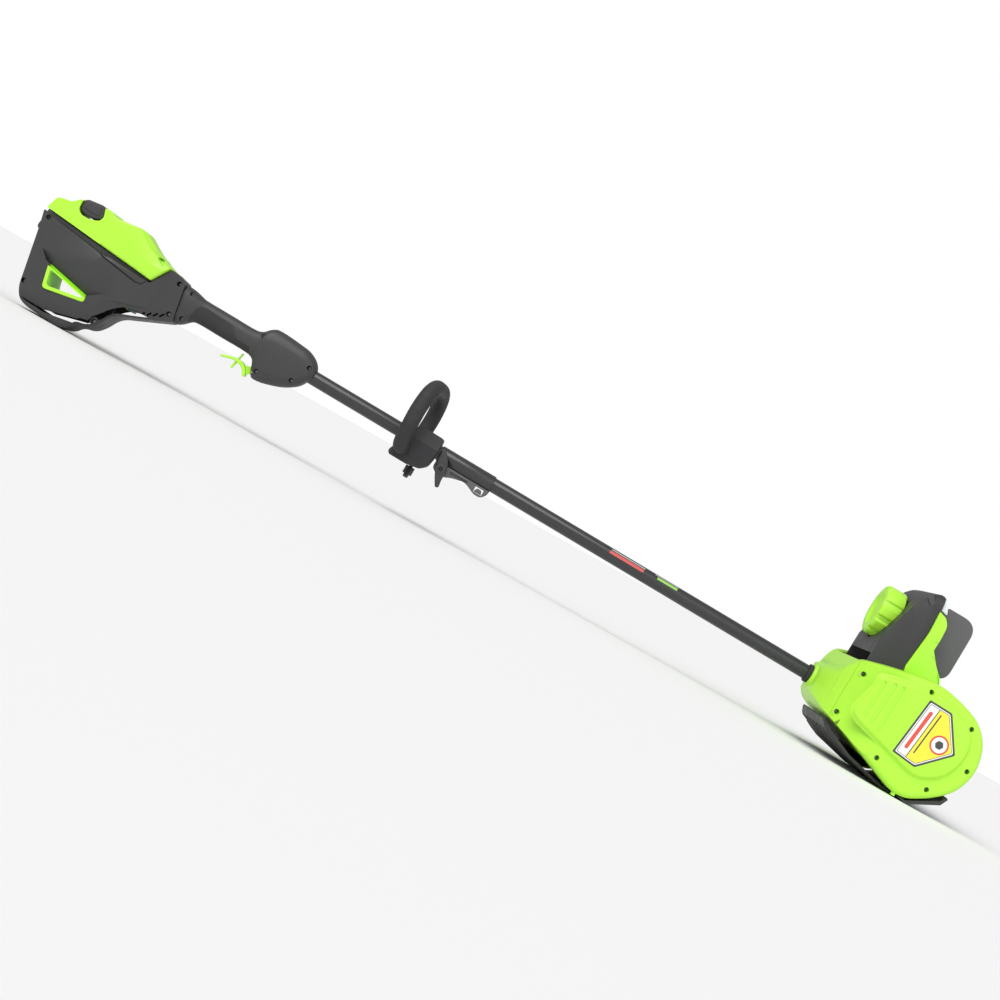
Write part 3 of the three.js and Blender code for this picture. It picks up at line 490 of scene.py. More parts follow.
# ---------------------------------------------------------------- placing finished pieces
def place(name, obj, body, material, slot_name, sharp=32):
    """Turns a solid in tool millimetres into a finished piece that rides on a body."""
    obj.name = obj.data.name = name
    obj.data.transform(TOOL @ Matrix.Scale(MM, 4))
    obj.data.shade_smooth()
    obj.data.set_sharp_from_angle(angle=math.radians(sharp))
    obj.data.materials.clear()
    obj.data.materials.append(material)
    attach(obj, body)
    return obj


def stands_for(node, obj, material=None, sharp=32):
    """A detailed piece in place of a CAD node, on the same body, in the material of the node's slot unless
    another is given.
    """
    slot_name = slot_of_node[node]
    piece = place(f"{node}_skin", obj, body_of_node[node], material or BY_SLOT[slot_name], slot_name, sharp)
    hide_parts(node)
    return piece


def screw(name, x, y, z, body, radius=3.4):
    """A pan-head screw whose head faces along -Y or +Y, with a six-lobed drive."""
    out = math.copysign(1, y)
    low, high = sorted((y - out * 2.2, y))
    head = rod("y", radius, low, high, (x, z), 28, bevel=0.9)
    drive = [
        [x + (1.55 + 0.3 * math.cos(6 * t)) * math.cos(t), z + (1.55 + 0.3 * math.cos(6 * t)) * math.sin(t)]
        for t in (2 * math.pi * i / 36 for i in range(36))
    ]
    socket_low, socket_high = sorted((y - out * 1.4, y + out))
    place(name, cut(head, side(drive, socket_low, socket_high)), body, dark_steel, "bare_steel")


# ---------------------------------------------------------------- battery
SLIDE_TILT = math.atan2(17, 204)
BATTERY_TOP = [
    [-260, 17, 3], [-253, 39, 4], [-226, 45, 6], [-218, 55, 6], [-206, 58, 4], [-164, 64, 6],
    [-153, 58, 8], [-104, 65, 8], [-68, 44, 14], [-37, 33, 2], [-56, 0, 2],
]
BUTTON = [
    [-211, 43, 5], [-204, 37.5, 7], [-187, 37.5, 7], [-174, 43.5, 4], [-172, 48, 3], [-177, 62.5, 3],
    [-182, 64.5, 3], [-206, 61, 3], [-212, 57, 3],
]
BUTTON_FACE = [[-208, 46, 3], [-184, 44.5, 3], [-178, 47, 2], [-181.5, 60.5, 2], [-209.5, 57.5, 2]]
BATTERY_REAR = [
    [[-150, -6, 41], [-161, 70, 41]], [[-155, -6, 38], [-178, 70, 38]], [[-220, -6, 38], [-229, 70, 38]],
    [[-250, -6, 36.5], [-240, 70, 36.5]], [[-276, -6, 27], [-254, 70, 27]],
]
BATTERY_FRONT = [
    [[-137, 64, 41], [-103.4, 38.7, 41], [-77.1, 23.1, 41], [-45, 24, 41]],
    [[-118, 68, 36], [-85.4, 44.6, 36], [-64, 37.4, 36], [-40, 31, 36]],
    [[-107, 72, 22], [-70, 46, 22], [-58, 40, 22], [-36, 36, 22]],
]
BUTTON_PRESS = (-1, -2.8)


def in_slide_frame(obj):
    """Moves a solid drawn along the battery's slide into the tool frame."""
    obj.data.transform(Matrix.Translation((COLLAR_X - 56, 0, 0)) @ Matrix.Rotation(SLIDE_TILT, 4, "Y"))
    return obj


def at_collar(obj):
    return moved(obj, x=COLLAR_X)


def make_battery():
    case = side(BATTERY_TOP, -41, 41, bevel=4, steps=4)
    pocket = side(inset(BUTTON, -0.8), -60, 60)
    pressed = moved(side(inset(BUTTON, -0.8), -60, 60), BUTTON_PRESS[0], 0, BUTTON_PRESS[1])
    cavity = box(-245, -70, -36, 36, -10, 28)
    facets = slopes(BATTERY_REAR) + slopes(BATTERY_FRONT)
    stands_for("battery_top_case", at_collar(cut(case, *facets, cavity, pocket, pressed)), green)
    button = join(side(BUTTON, -37.4, 37.4, bevel=2.5, steps=4), side(BUTTON_FACE, -38.8, 38.8, bevel=1.2))
    ribs = [box(-206 + i * 6, -203.5 + i * 6, -24, 24, 60.7 + i * 0.5, 70) for i in range(4)]
    stands_for("battery_release_button", at_collar(cut(button, *ribs)))
    base = side([[-200, -36, 6], [-4, -36, 6], [-4, -GAP, 1], [-200, -GAP, 1]], -33, 33, bevel=2)
    grooves = [box(-210, 10, s * 29 - 4.2, s * 29 + 4.2, -19.6, -14.4) for s in (-1, 1)]
    well = box(-186, -18, -27, 27, -31, 1)
    contacts = [box(-14, 2, y - 2, y + 2, -30, -12) for y in (-18, -9, 0, 9, 18)]
    stands_for("battery_base_case", in_slide_frame(cut(base, *grooves, well, *contacts)))


# ---------------------------------------------------------------- rear housing
HOUSING = [
    [-261, 12, 3], [-254, -15, 20], [-233, -116, 12], [-222, -132, 12], [-206, -137, 8], [-147, -140, 8],
    [-133, -134, 6], [-124, -122, 8], [-104, -117, 10], [-92, -103, 12], [-79, -78, 14], [5, -40, 3],
    [-8, 27, 4], [-34, 33, 4], [-56, -3, 2], [-129, 1, 4], [-146, -2, 4],
]
HAND_HOLE = [[-209, -58, 4], [-199, -99, 7], [-128, -85, 7], [-131, -73, 4]]
HOUSING_PLAN = [
    [-270, -38, 4], [-120, -42, 10], [-66, -39, 20], [8, -25, 2], [8, 25, 2], [-66, 39, 20], [-120, 42, 10],
    [-270, 38, 4],
]
HOUSING_SCREWS = [[-247, 4], [-230, -103], [-101, -102], [-6, -31], [-15, 19]]
HOUSING_BELLY = [
    [[-236, -64, 42], [-223, -110, 42], [-176, -114, 42], [-126, -103, 42], [-116, -95, 42], [-108, -74, 41],
     [-94, -60, 40], [-27, -37, 32], [6, -23, 25]],
    [[-254, -70, 36], [-240, -128, 36], [-178, -131, 36], [-126, -121, 36], [-105, -114, 36], [-96, -100, 36],
     [-80, -79, 35], [-22, -56, 27], [9, -41, 21]],
]
HAND_SLOPE = [
    [[-236, -37.5, 42.2], [-196, -41, 42.2], [-143, -51, 42.2], [-100, -51, 42.2]],
    [[-216, -56.5, 31], [-206, -60, 31], [-137, -72.5, 31], [-131.5, -74, 31]],
]
TOP_GROOVE = [[-146, -4], [-143, -5.5], [-76, -14.5], [-66, -12.5], [-61, -4]]


def half(obj, sign, x0, x1):
    """The half of a body on one side of its seam."""
    low, high = sorted((sign * GAP / 2, sign * 100))
    return common(obj, box(x0, x1, low, high, -250, 150))


def make_rear_housing():
    outer = common(side(HOUSING, -42, 42, bevel=9, steps=6), plan(HOUSING_PLAN, -150, 80))
    hollow = common(
        side(inset(HOUSING, WALL), -39, 39, bevel=7, steps=3), plan(inset(HOUSING_PLAN, WALL), -150, 80)
    )
    around_hole = common(side(inset(HAND_HOLE, -WALL), -40, 40), copy(outer))
    to_collar = Matrix.Translation((-COLLAR_X, 0, 0))

    def along_slide(obj):
        in_slide_frame(obj).data.transform(to_collar)
        return obj

    tray = common(along_slide(box(-198, 8, -39, 39, -40, -5)), copy(outer))
    bay = along_slide(box(-260, -3.4, -33.6, 33.6, -36.6, 30))
    rails = [along_slide(box(-196, -8, *sorted((s * 28, s * 35)), -19, -15)) for s in (-1, 1)]
    vents = []
    for i in range(5):
        x, z = -52 + i * 9, -60 + i * 4.6
        vents.append(side(slot((x, z), (x + 4, z + 6), 1.5), -60, 60))
    grooves = [side(stroke(TOP_GROOVE, 2.4), *sorted((s * 36.5, s * 60))) for s in (-1, 1)]
    backing = [
        side([[-238, -34], [-96, -48], [-96, -84], [-228, -84]], *sorted((s * 24, s * 40))) for s in (-1, 1)
    ]
    bosses = [rod("y", 7, -34, -20 if x > -40 else -26, (x, z), 28) for x, z in HOUSING_SCREWS]
    filled = [common(solid, copy(outer)) for solid in backing + bosses]
    screw_ways = [rod("y", 4.2, -60, -18 if x > -40 else -27, (x, z), 28) for x, z in HOUSING_SCREWS]
    shell = join(cut(outer, hollow), around_hole, tray, *filled)
    shell = cut(shell, *slopes(HOUSING_BELLY), *slopes(HAND_SLOPE))
    body = join(cut(shell, side(HAND_HOLE, -60, 60), bay, rod("x", TUBE_R + 2, -30, 20), *vents), *rails)
    body = cut(body, *screw_ways, *grooves)
    stands_for("rear_housing_left", at_collar(half(copy(body), 1, -300, 50)))
    stands_for("rear_housing_right", at_collar(half(body, -1, -300, 50)))
    rim = cut(side(inset(HAND_HOLE, GAP), -43, 43, bevel=1.2), side(inset(HAND_HOLE, 6.2), -60, 60))
    rim = cut(rim, *slopes([[[-240, -40, 43], [-90, -68, 43]], [[-215, -61, 30.5], [-126, -78, 30.5]]]))
    stands_for("hand_hole_liner", at_collar(rim))
    for i, (x, z) in enumerate(HOUSING_SCREWS):
        depth = -30 if x < -40 else -20.5
        screw(f"housing_screw_{i + 1}", COLLAR_X + x, depth, z, "power_unit")


# ---------------------------------------------------------------- grip and trigger
GRIP_STATIONS = [
    [-4, 25, -39, 25], [8, 24, -39, 25], [18, 22, -33, 23], [28, 19.5, -23, 20], [40, 19, -20, 18.5],
    [80, 19, -20, 18.5], [122, 19, -20, 18.5], [136, 23, -22, 20], [144, 31, -28, 22], [151, 36, -44, 23.5],
    [158, 38, -52, 24], [175, 38, -50, 24.5], [200, 36, -42, 24.5], [216, 34, -34, 24], [230, 28, -23, 22],
    [238, 21, -11, 18], [GRIP_END, 15, -9, 15],
]
TRIGGER_PIVOT = (155, -42)
POD_FLAT = 22.4
GRIP_SCREWS = [[9, 16], [14, -27], [142, 17], [231, 10], [160, -38], [216, -22]]


def grip_form(grow, count, sides=56):
    rings = []
    for x, top, bottom, half_width in smooth(GRIP_STATIONS, count):
        middle, tall = (top + bottom) / 2, (top - bottom) / 2 + grow
        ring_points = []
        for i in range(sides):
            t = 2 * math.pi * (i + 0.5) / sides
            bend = [math.copysign(abs(v) ** (2 / 2.6), v) for v in (math.cos(t), math.sin(t))]
            ring_points.append((x, (half_width + grow) * bend[0], middle + tall * bend[1]))
        rings.append(ring_points)
    return loft(rings)


def make_grip():
    flats = lambda: box(-60, 300, -POD_FLAT, POD_FLAT, -100, 90)
    outer, inner = common(grip_form(0, 80), flats()), grip_form(-WALL - 2, 32, 28)
    front = cut(common(grip_form(0, 80), flats()), box(-50, GRIP_END - 12, -60, 60, -90, 90))
    tray = common(rod("x", TUBE_R + 4, 150, GRIP_END - 1), copy(outer))
    shell = join(cut(outer, inner), front, tray)
    body = cut(
        shell,
        rod("x", TUBE_R + GAP, 140, GRIP_END + 20),
        side([[-40, 90], [-7, 28], [6, -42], [0, -90], [-40, -90]], -60, 60),
        box(131, 172, -6, 6, -70, -24),
        box(104, 134, -3.2, 3.2, -30, -12),
        rod("y", 2.3, -17, 17, TRIGGER_PIVOT, 16),
        *[rod("y", 3.8, -60, -13 if x < 200 else -10, (x, z), 28) for x, z in GRIP_SCREWS],
    )
    stands_for("grip_left", at_collar(half(copy(body), 1, -20, 300)))
    stands_for("grip_right", at_collar(half(body, -1, -20, 300)))
    for i, (x, z) in enumerate(GRIP_SCREWS):
        screw(f"grip_screw_{i + 1}", COLLAR_X + x, -14 if x < 200 else -12, z, "power_unit")

    area = [
        [27, 1, 4], [31, 6.6, 3], [39, 8.4, 4], [91.5, 6.6, 6], [105, -10.2, 5], [132, -10.2, 3],
        [132, -60, 2], [20, -60, 2],
    ]
    patch = common(grip_form(0.35, 80), side(area, -60, 60))
    patch = cut(patch, grip_form(0.05, 80), box(100, 136, -4, 4, -60, 0))
    for s, name in ((1, "left"), (-1, "right")):
        soft_half = at_collar(half(copy(patch), s, -20, 300))
        place(f"soft_grip_{name}", soft_half, "power_unit", rubber, "black_rubber")
    bpy.data.objects.remove(patch, do_unlink=True)

    blade = [
        [94, -47, 2], [97, -42.5, 2], [118, -35.5, 8], [134, -36, 12], [144, -46, 5], [147, -55.5, 2],
        [142, -56.5, 2], [137, -46, 8], [126, -41.5, 8], [116, -41, 6],
    ]
    arm = [[135, -40, 2], [152, -35, 3], [160, -38, 4], [160, -46, 4], [150, -48, 3], [141, -54, 1]]
    trigger = cut(
        join(side(blade, -9, 9, bevel=1.8, steps=4), side(arm, -4, 4, bevel=0.5)),
        rod("y", 2.3, -20, 20, TRIGGER_PIVOT, 20), box(117.5, 126, -3, 3, -60, -20),
    )
    stands_for("trigger", at_collar(trigger), green)
    lever = [
        [124, -24, 1.5], [127, -24.5, 1.5], [123.5, -44, 4], [121.5, -54, 1.6], [117.5, -53.5, 1.6],
        [119.8, -44, 4],
    ]
    stands_for("lock_off_lever", at_collar(side(lever, -2.3, 2.3, bevel=0.6)), green)


# ---------------------------------------------------------------- shaft and loop handle
def make_shaft():
    tubes = {"upper_tube": (COLLAR_X + 152, -1.5), "lower_tube": (1.5, HEAD_X + NECK_X + 40)}
    for node, (x0, x1) in tubes.items():
        stands_for(node, ring("x", TUBE_R, TUBE_R - 1.5, x0, x1, sides=96, bevel=0.4))
    sleeve = ring("x", SLEEVE_R, TUBE_R + 0.15, -SLEEVE_HALF, SLEEVE_HALF, sides=96, bevel=0.6)
    stands_for("coupler_sleeve", sleeve)
    seal = ring("x", 15.5, TUBE_R + GAP, NECK_X - 11, NECK_X - 4.3, bevel=1.2)
    stands_for("tube_seal", moved(seal, x=HEAD_X))
    strips = (
        ("strip_red", 267, 330, 2.4, 7.4, (0.6, 0.09, 0.08)),
        ("strip_pale_1", 269, 331, 8.6, 10.2, (0.45, 0.45, 0.45)),
        ("strip_green", 355, 392, 5.2, 8.8, (0.3, 0.62, 0.1)),
        ("strip_pale_2", 350, 393, 9.9, 11, (0.45, 0.45, 0.45)),
    )
    for name, x0, x1, z0, z1, colour in strips:
        skin = ring("x", TUBE_R + 0.12, TUBE_R + 0.02, x0, x1, sides=96)
        wrap = common(skin, box(x0 - 1, x1 + 1, -20, -2, z0, z1))
        place(name, wrap, "head", printed(name, colour), "painted_tube")


LOOP_HALF, LOOP_TOP, LOOP_LOW, LOOP_R, LOOP_YAW = 62, 87, -22, 13, math.radians(-8.7)
CLAMP_HALF, CLAMP_LOW = 31, -42.5
CLAMP_SIDE = [
    [-1.5, 14, 3], [4, 22, 4], [11, 23.4, 3], [48, 22.5, 4], [50, 3, 2], [49, -12, 2], [46, -29, 5],
    [35, -39, 4],
    [15, CLAMP_LOW, 2], [-17, CLAMP_LOW, 4], [-21, -37, 3],
]


def sweep(route, radius, count, sides=36):
    """A round bar along a smooth route in a plane across the shaft."""
    line = [Vector(p) for p in smooth(route, count)]
    rings = []
    for i, point in enumerate(line):
        ahead = (line[min(i + 1, count)] - line[max(i - 1, 0)]).normalized()
        flat = ahead.cross(Vector((1, 0, 0))).normalized()
        turns = [2 * math.pi * k / sides for k in range(sides)]
        rings.append([
            point + Vector((1, 0, 0)) * radius * math.cos(t) + flat * radius * math.sin(t) for t in turns
        ])
    return loft(rings)


def make_loop_handle():
    right = [
        [0, -22, LOOP_LOW - 2], [0, -48, LOOP_LOW + 6], [0, -LOOP_HALF, 18], [0, -LOOP_HALF - 3, 46],
        [0, -LOOP_HALF + 8, 72], [0, -30, LOOP_TOP - 1],
    ]
    left = [[x, -y, z] for x, y, z in reversed(right)]
    bar = sweep([*right, [0, 0, LOOP_TOP + 1], *left], LOOP_R, 110)
    bar.data.transform(Matrix.Rotation(LOOP_YAW, 4, "Z"))
    from_above = [[-24, -26, 8], [52, -CLAMP_HALF + 1, 8], [52, CLAMP_HALF - 1, 8], [-24, 26, 8]]
    whole = common(side(CLAMP_SIDE, -CLAMP_HALF, CLAMP_HALF, bevel=5, steps=5), plan(from_above, -60, 40))
    bore = lambda: rod("x", TUBE_R + GAP, -60, 90, sides=96)
    bolt_way = lambda: rod("z", 3.4, -60, 18, (22, 19), 24)
    below, above = box(-60, 90, -60, 60, -60, -GAP / 2), box(-60, 90, -60, 60, GAP / 2, 60)
    upper = cut(common(copy(whole), above), bore(), bolt_way())
    lower = cut(join(bar, common(whole, below)), bore(), bolt_way())
    stands_for("loop_handle", moved(lower, x=LOOP_X), rubber)
    stands_for("handle_clamp_cap", moved(upper, x=LOOP_X))

    low = CLAMP_LOW
    wing = [
        [-9, low - 1, 2], [9, low - 1, 2], [17, low - 18, 3], [7, low - 20, 4], [-7, low - 20, 4],
        [-17, low - 18, 3],
    ]
    knob = join(end(wing, -4, 4, bevel=1.8), rod("z", 8, low - 14, low - GAP, sides=32, bevel=0.8))
    knob = moved(knob, y=19)
    knob = cut(knob, rod("z", 3.2, -70, low - 4, (0, 19), 24))
    knob = join(knob, rod("z", 3, low - 6, 14, (0, 19), 24))
    stands_for("handle_wing_knob", moved(knob, x=LOOP_X + 22))


# ---------------------------------------------------------------- coupler
CLAMP_BOLT = (-35, -21)


def make_coupler():
    profile = [
        [-48, -12, 3], [-49, -24, 6], [-40, -31, 6], [-26, -31, 6], [-14, -25, 12], [8, -20, 20],
        [20, -24, 6],
        [30, -29, 7], [43, -29, 7], [50, -20, 5], [51, -12, 1],
    ]
    well = [[-20, -16, 1], [14, -16, 1], [12, -18.5, 1], [-18, -22, 2]]
    bracket = cut(
        side(profile, -9, 9, bevel=2.2), rod("x", SLEEVE_R + GAP, -70, 70, sides=96),
        rod("y", 3.3, -20, 20, CLAMP_BOLT, 24), side(well, 5, 12), side(well, -12, -5),
        box(27.5, 42.5, -20, 20, -25.5, -16), box(-60, -24, -1.2, 1.2, -40, -10),
    )
    stands_for("coupler_bracket", bracket)
    button = [[28, -25, 1], [42, -25, 1], [39, -17.5, 2], [31, -17.5, 2]]
    stands_for("coupler_release_button", side(button, -10, 10, bevel=1.2))
    bar = [
        [-48.2, 7.5, 3], [-41.2, 8.3, 3], [-28.6, -7.4, 6], [-24.3, -21.5, 6], [-25.2, -33.8, 6],
        [-22.8, -49, 3],
        [-28.4, -50.7, 3], [-40.2, -31.1, 8], [-46, -12.9, 8],
    ]
    knob = join(
        side(bar, -23, -14.4, bevel=2.4), rod("y", 8.5, -24, -9.4, CLAMP_BOLT, 40, bevel=1),
        rod("y", 3, -12, 10, CLAMP_BOLT, 24),
    )
    stands_for("coupler_wing_knob", cut(knob, rod("y", 4.2, -30, -22.6, CLAMP_BOLT, 32)))
    screw("coupler_knob_screw", CLAMP_BOLT[0], -22.6, CLAMP_BOLT[1], "coupler_knob", 3.6)


# ---------------------------------------------------------------- head
HEAD_SIDE = [
    [-182, 22, 3], [-182, -22, 6], [-174, -28, 8], [-160, -37, 10], [-20, -91, 14], [5, -90, 18],
    [41, -68, 26], [68, -40.5, 26], [79, 0, 30], [68, 41, 26], [43, 68, 26], [7, 80.5, 20],
    [-37, 88.5, 24], [-100, 75.5, 24],
    [-145, 62, 8], [-153, 55, 10], [-160, 43, 8], [-166, 26, 4],
]
HEAD_PLAN = [
    [-182, 40, 10], [-182, -40, 10], [-168, -84, 22], [-146, -122, 24], [-116, -152, 26],
    [-84, -COVER_HALF, 20], [92, -COVER_HALF, 2], [92, COVER_HALF, 2], [-84, COVER_HALF, 20],
    [-116, 152, 26], [-146, 122, 24], [-168, 84, 22],
]
PANEL = [
    [-131, 50, 8], [-129, 36, 12], [-141, -9, 6], [-137, -20, 6], [-121, -28.5, 6], [-12, -57, 12],
    [8, -54.5, 10], [37, -37, 16], [50, -10, 16], [54, 20, 20], [42, 50, 20], [7, 70, 20], [-38, 78, 20],
    [-98, 66, 16], [-124, 58, 8],
]
PANEL_RISE, PANEL_SLOPE = 6, 8
PANEL_SLOTS = [[-115.5, 46, -117, -10], [-99.5, 51, -103, -14.5], [-86.5, 53, -88, -19]]
COVER_SCREWS = [[-140, 42], [-46, 70.5], [36, 53], [63, -6], [24, -61], [-66, -58], [-145, -29]]
SCREW_DROP = 10  # how deep the screw heads lie in their holes


def envelope(distance, steps):
    return common(
        side(inset(HEAD_SIDE, distance), -COVER_HALF, COVER_HALF, bevel=10 + distance, steps=steps),
        plan(inset(HEAD_PLAN, distance), -120, 120),
    )


def inner_face(sign):
    return DRIVE_WALL if sign < 0 else HEAD_HALF


def cover_edge(sign, gap):
    face = inner_face(sign)
    turn = -130 + (face - 110) * 0.6
    return [[-151 - gap, 96 - 3 * gap], [-130 - gap, 112 - 2 * gap], [turn - gap, face - gap]]


def at_head(obj):
    return moved(obj, x=HEAD_X)


def at_chute(obj):
    return moved(obj, x=HEAD_X + CHUTE_X)


def surface_at(x):
    """Distance from the middle to a side cover's face; it comes in towards the neck."""
    return x + 268 if x < -120 else COVER_HALF


def make_side_cover(sign):
    def between(start, finish):
        return sorted((sign * start, sign * finish))

    inner = inner_face(sign) + GAP
    edge = cover_edge(sign, 0)
    outline = [edge[0], edge[1], [edge[2][0], inner], [100, inner], [100, 190], [-151, 190]]
    region = lambda: plan([[x, sign * y] for x, y in outline], -130, 130)
    shell = common(cut(envelope(0, 6), envelope(WALL, 2)), region())
    rim = cut(
        side(inset(HEAD_SIDE, 0.2), *between(inner, inner + 3)),
        side(inset(HEAD_SIDE, 9), *between(inner - 5, inner + 20)),
    )
    rim = common(rim, region(), envelope(0, 6))
    raised = plateau(PANEL, sign, COVER_HALF - 2, COVER_HALF, PANEL_RISE, PANEL_SLOPE)
    tab = side([[-17.5, -95], [-16.5, -84], [-11.6, -84], [-11.4, -95]], *between(150, 158))
    ways, bosses = [], []
    for x, z in COVER_SCREWS:
        face = surface_at(x)
        bosses.append(rod("y", 6.6, *between(face - SCREW_DROP - 5, face - 2), (x, z), 28))
        ways.append(rod("y", 4.2, *between(face - SCREW_DROP - 2, 200), (x, z), 28))
    top = COVER_HALF + PANEL_RISE
    slots = [
        extrude("side", slot((x0, z0), (x1, z1), 3.2), *between(top - 1.6, top + 20))
        for x0, z0, x1, z1 in PANEL_SLOTS
    ]
    return cut(join(shell, rim, raised, tab, *bosses), *ways, *slots)


def make_side_covers():
    for sign, side_name in ((-1, "right"), (1, "left")):
        stands_for(f"side_cover_{side_name}", at_head(make_side_cover(sign)), green)
        for i, (x, z) in enumerate(COVER_SCREWS):
            y = sign * (surface_at(x) - SCREW_DROP + 1)
            screw(f"cover_screw_{side_name}_{i + 1}", HEAD_X + x, y, z, "head")


def make_neck():
    def half_plan(sign):
        edge = [[-200, 180], [-151 - GAP, 180], *cover_edge(sign, GAP), [-81, inner_face(sign) - GAP]]
        return [[x, sign * y] for x, y in edge]

    region = plan(half_plan(1) + half_plan(-1)[::-1], -130, 130)
    shell = common(cut(envelope(0, 6), envelope(WALL, 2)), region)
    socket = lathe([
        [NECK_X - 4, 17.5], [NECK_X - 3.4, 19], [NECK_X - 2, 19.6], [NECK_X + 8, 23.6], [NECK_X + 12, 24.5],
        [NECK_X + 40, 24.5],
    ])
    neck = cut(
        join(shell, socket), rod("x", TUBE_R + GAP, NECK_X - 40, NECK_X + 60, sides=96),
        box(-149, -76, -HOOD_HALF - 2, HOOD_HALF + 2, 55, 100),
    )
    stands_for("neck_housing", at_head(neck), green)


def make_label():
    """A plain two-colour sticker with no lettering on the right cover's panel."""
    top = -(COVER_HALF + PANEL_RISE)
    black, red = printed("label_black", (0.06, 0.06, 0.06)), printed("label_red", (0.72, 0.09, 0.06))
    white, yellow = printed("label_white", (0.84, 0.84, 0.84)), printed("label_yellow", (0.9, 0.78, 0.05))
    border = [[-42.6, 59.6, 2], [-3.3, 58.7, 3], [33, 5.4, 3], [-11.5, -41, 3], [-52.8, -37, 2]]
    left_part = [[-80, 80], [-20.3, 80], [-35.3, -70], [-80, -70]]
    right_part = [[-18.9, 80], [60, 80], [60, -70], [-33.9, -70]]
    sheet = lambda distance, rise: side(inset(border, distance), top - rise, top + 0.05)
    layers = [
        ("label_border", sheet(0, 0.12), black), ("label_margin", sheet(3, 0.2), white),
        ("label_line", sheet(4.6, 0.26), black),
        ("label_white_field", common(sheet(5.4, 0.34), side(left_part, -200, -150)), white),
        ("label_yellow_field", common(sheet(5.4, 0.34), side(right_part, -200, -150)), yellow),
        ("label_red_bar", side(slot((-31.5, 42), (-38, -20), 3), top - 0.4, top - 0.3), red),
        ("label_dark_bar", side(slot((-16.5, 47), (-23.5, -22), 1.1), top - 0.4, top - 0.3), black),
        ("label_disc", rod("y", 15, top - 0.4, top - 0.3, (4, 7), 64), red),
        ("label_disc_face", rod("y", 12.2, top - 0.46, top - 0.36, (4, 7), 64), white),
        ("label_disc_dot", rod("y", 7, top - 0.52, top - 0.42, (4, 7), 6), black),
    ]
    for name, obj, look in layers:
        place(name, at_head(obj), "head", look, "green_plastic")


def make_chamber():
    wall = arc((0, 0), SCROLL_R + 2, -38, -178, 60) + [[-77, 18], [-79, 51], [-108, 55.5]]
    cheek = [
        [-79, -64, 6], [-21, -85, 14], [3, -85, 16], [37, -63, 24], [62, -38, 24], [73, 0, 28], [62, 38, 24],
        [39, 63, 24], [6, 74, 18], [-38, 82, 20], [-100, 70, 10], [-100, 56, 2], [-76, 48, 2],
    ]
    scroll = side(stroke(wall, 4), -DRIVE_WALL + 2, HEAD_HALF - 2)
    ends = [side(cheek, -DRIVE_WALL, -DRIVE_WALL + 4), side(cheek, HEAD_HALF - 4, HEAD_HALF)]
    chamber = cut(join(scroll, *ends), rod("y", 13.3, -HEAD_HALF - 5, HEAD_HALF + 5, sides=64))
    stands_for("rotor_chamber", at_head(chamber))


def make_skid():
    """The rear wall under the rotor: a bent plate with raised ribs along the shaft's direction."""
    belly = [[-150, -48], [-144, -58], [-96, -78], [-30, -93.5], [-14, -93.5]]
    low = [[-147, -53], [-141, -61.5], [-96, -80.2], [-32, -94.6], [-16, -94.6]]
    within = lambda: plan(inset(HEAD_PLAN, 10), -120, 0)
    plate = common(side(stroke(belly, 4), -DRIVE_WALL + 1, HEAD_HALF - 1), within())
    ribs = [common(side(stroke(low, 2.6), y, y + 14, bevel=0.8), within()) for y in range(-112, 130, 30)]
    stands_for("skid_plate", at_head(join(plate, *ribs)))


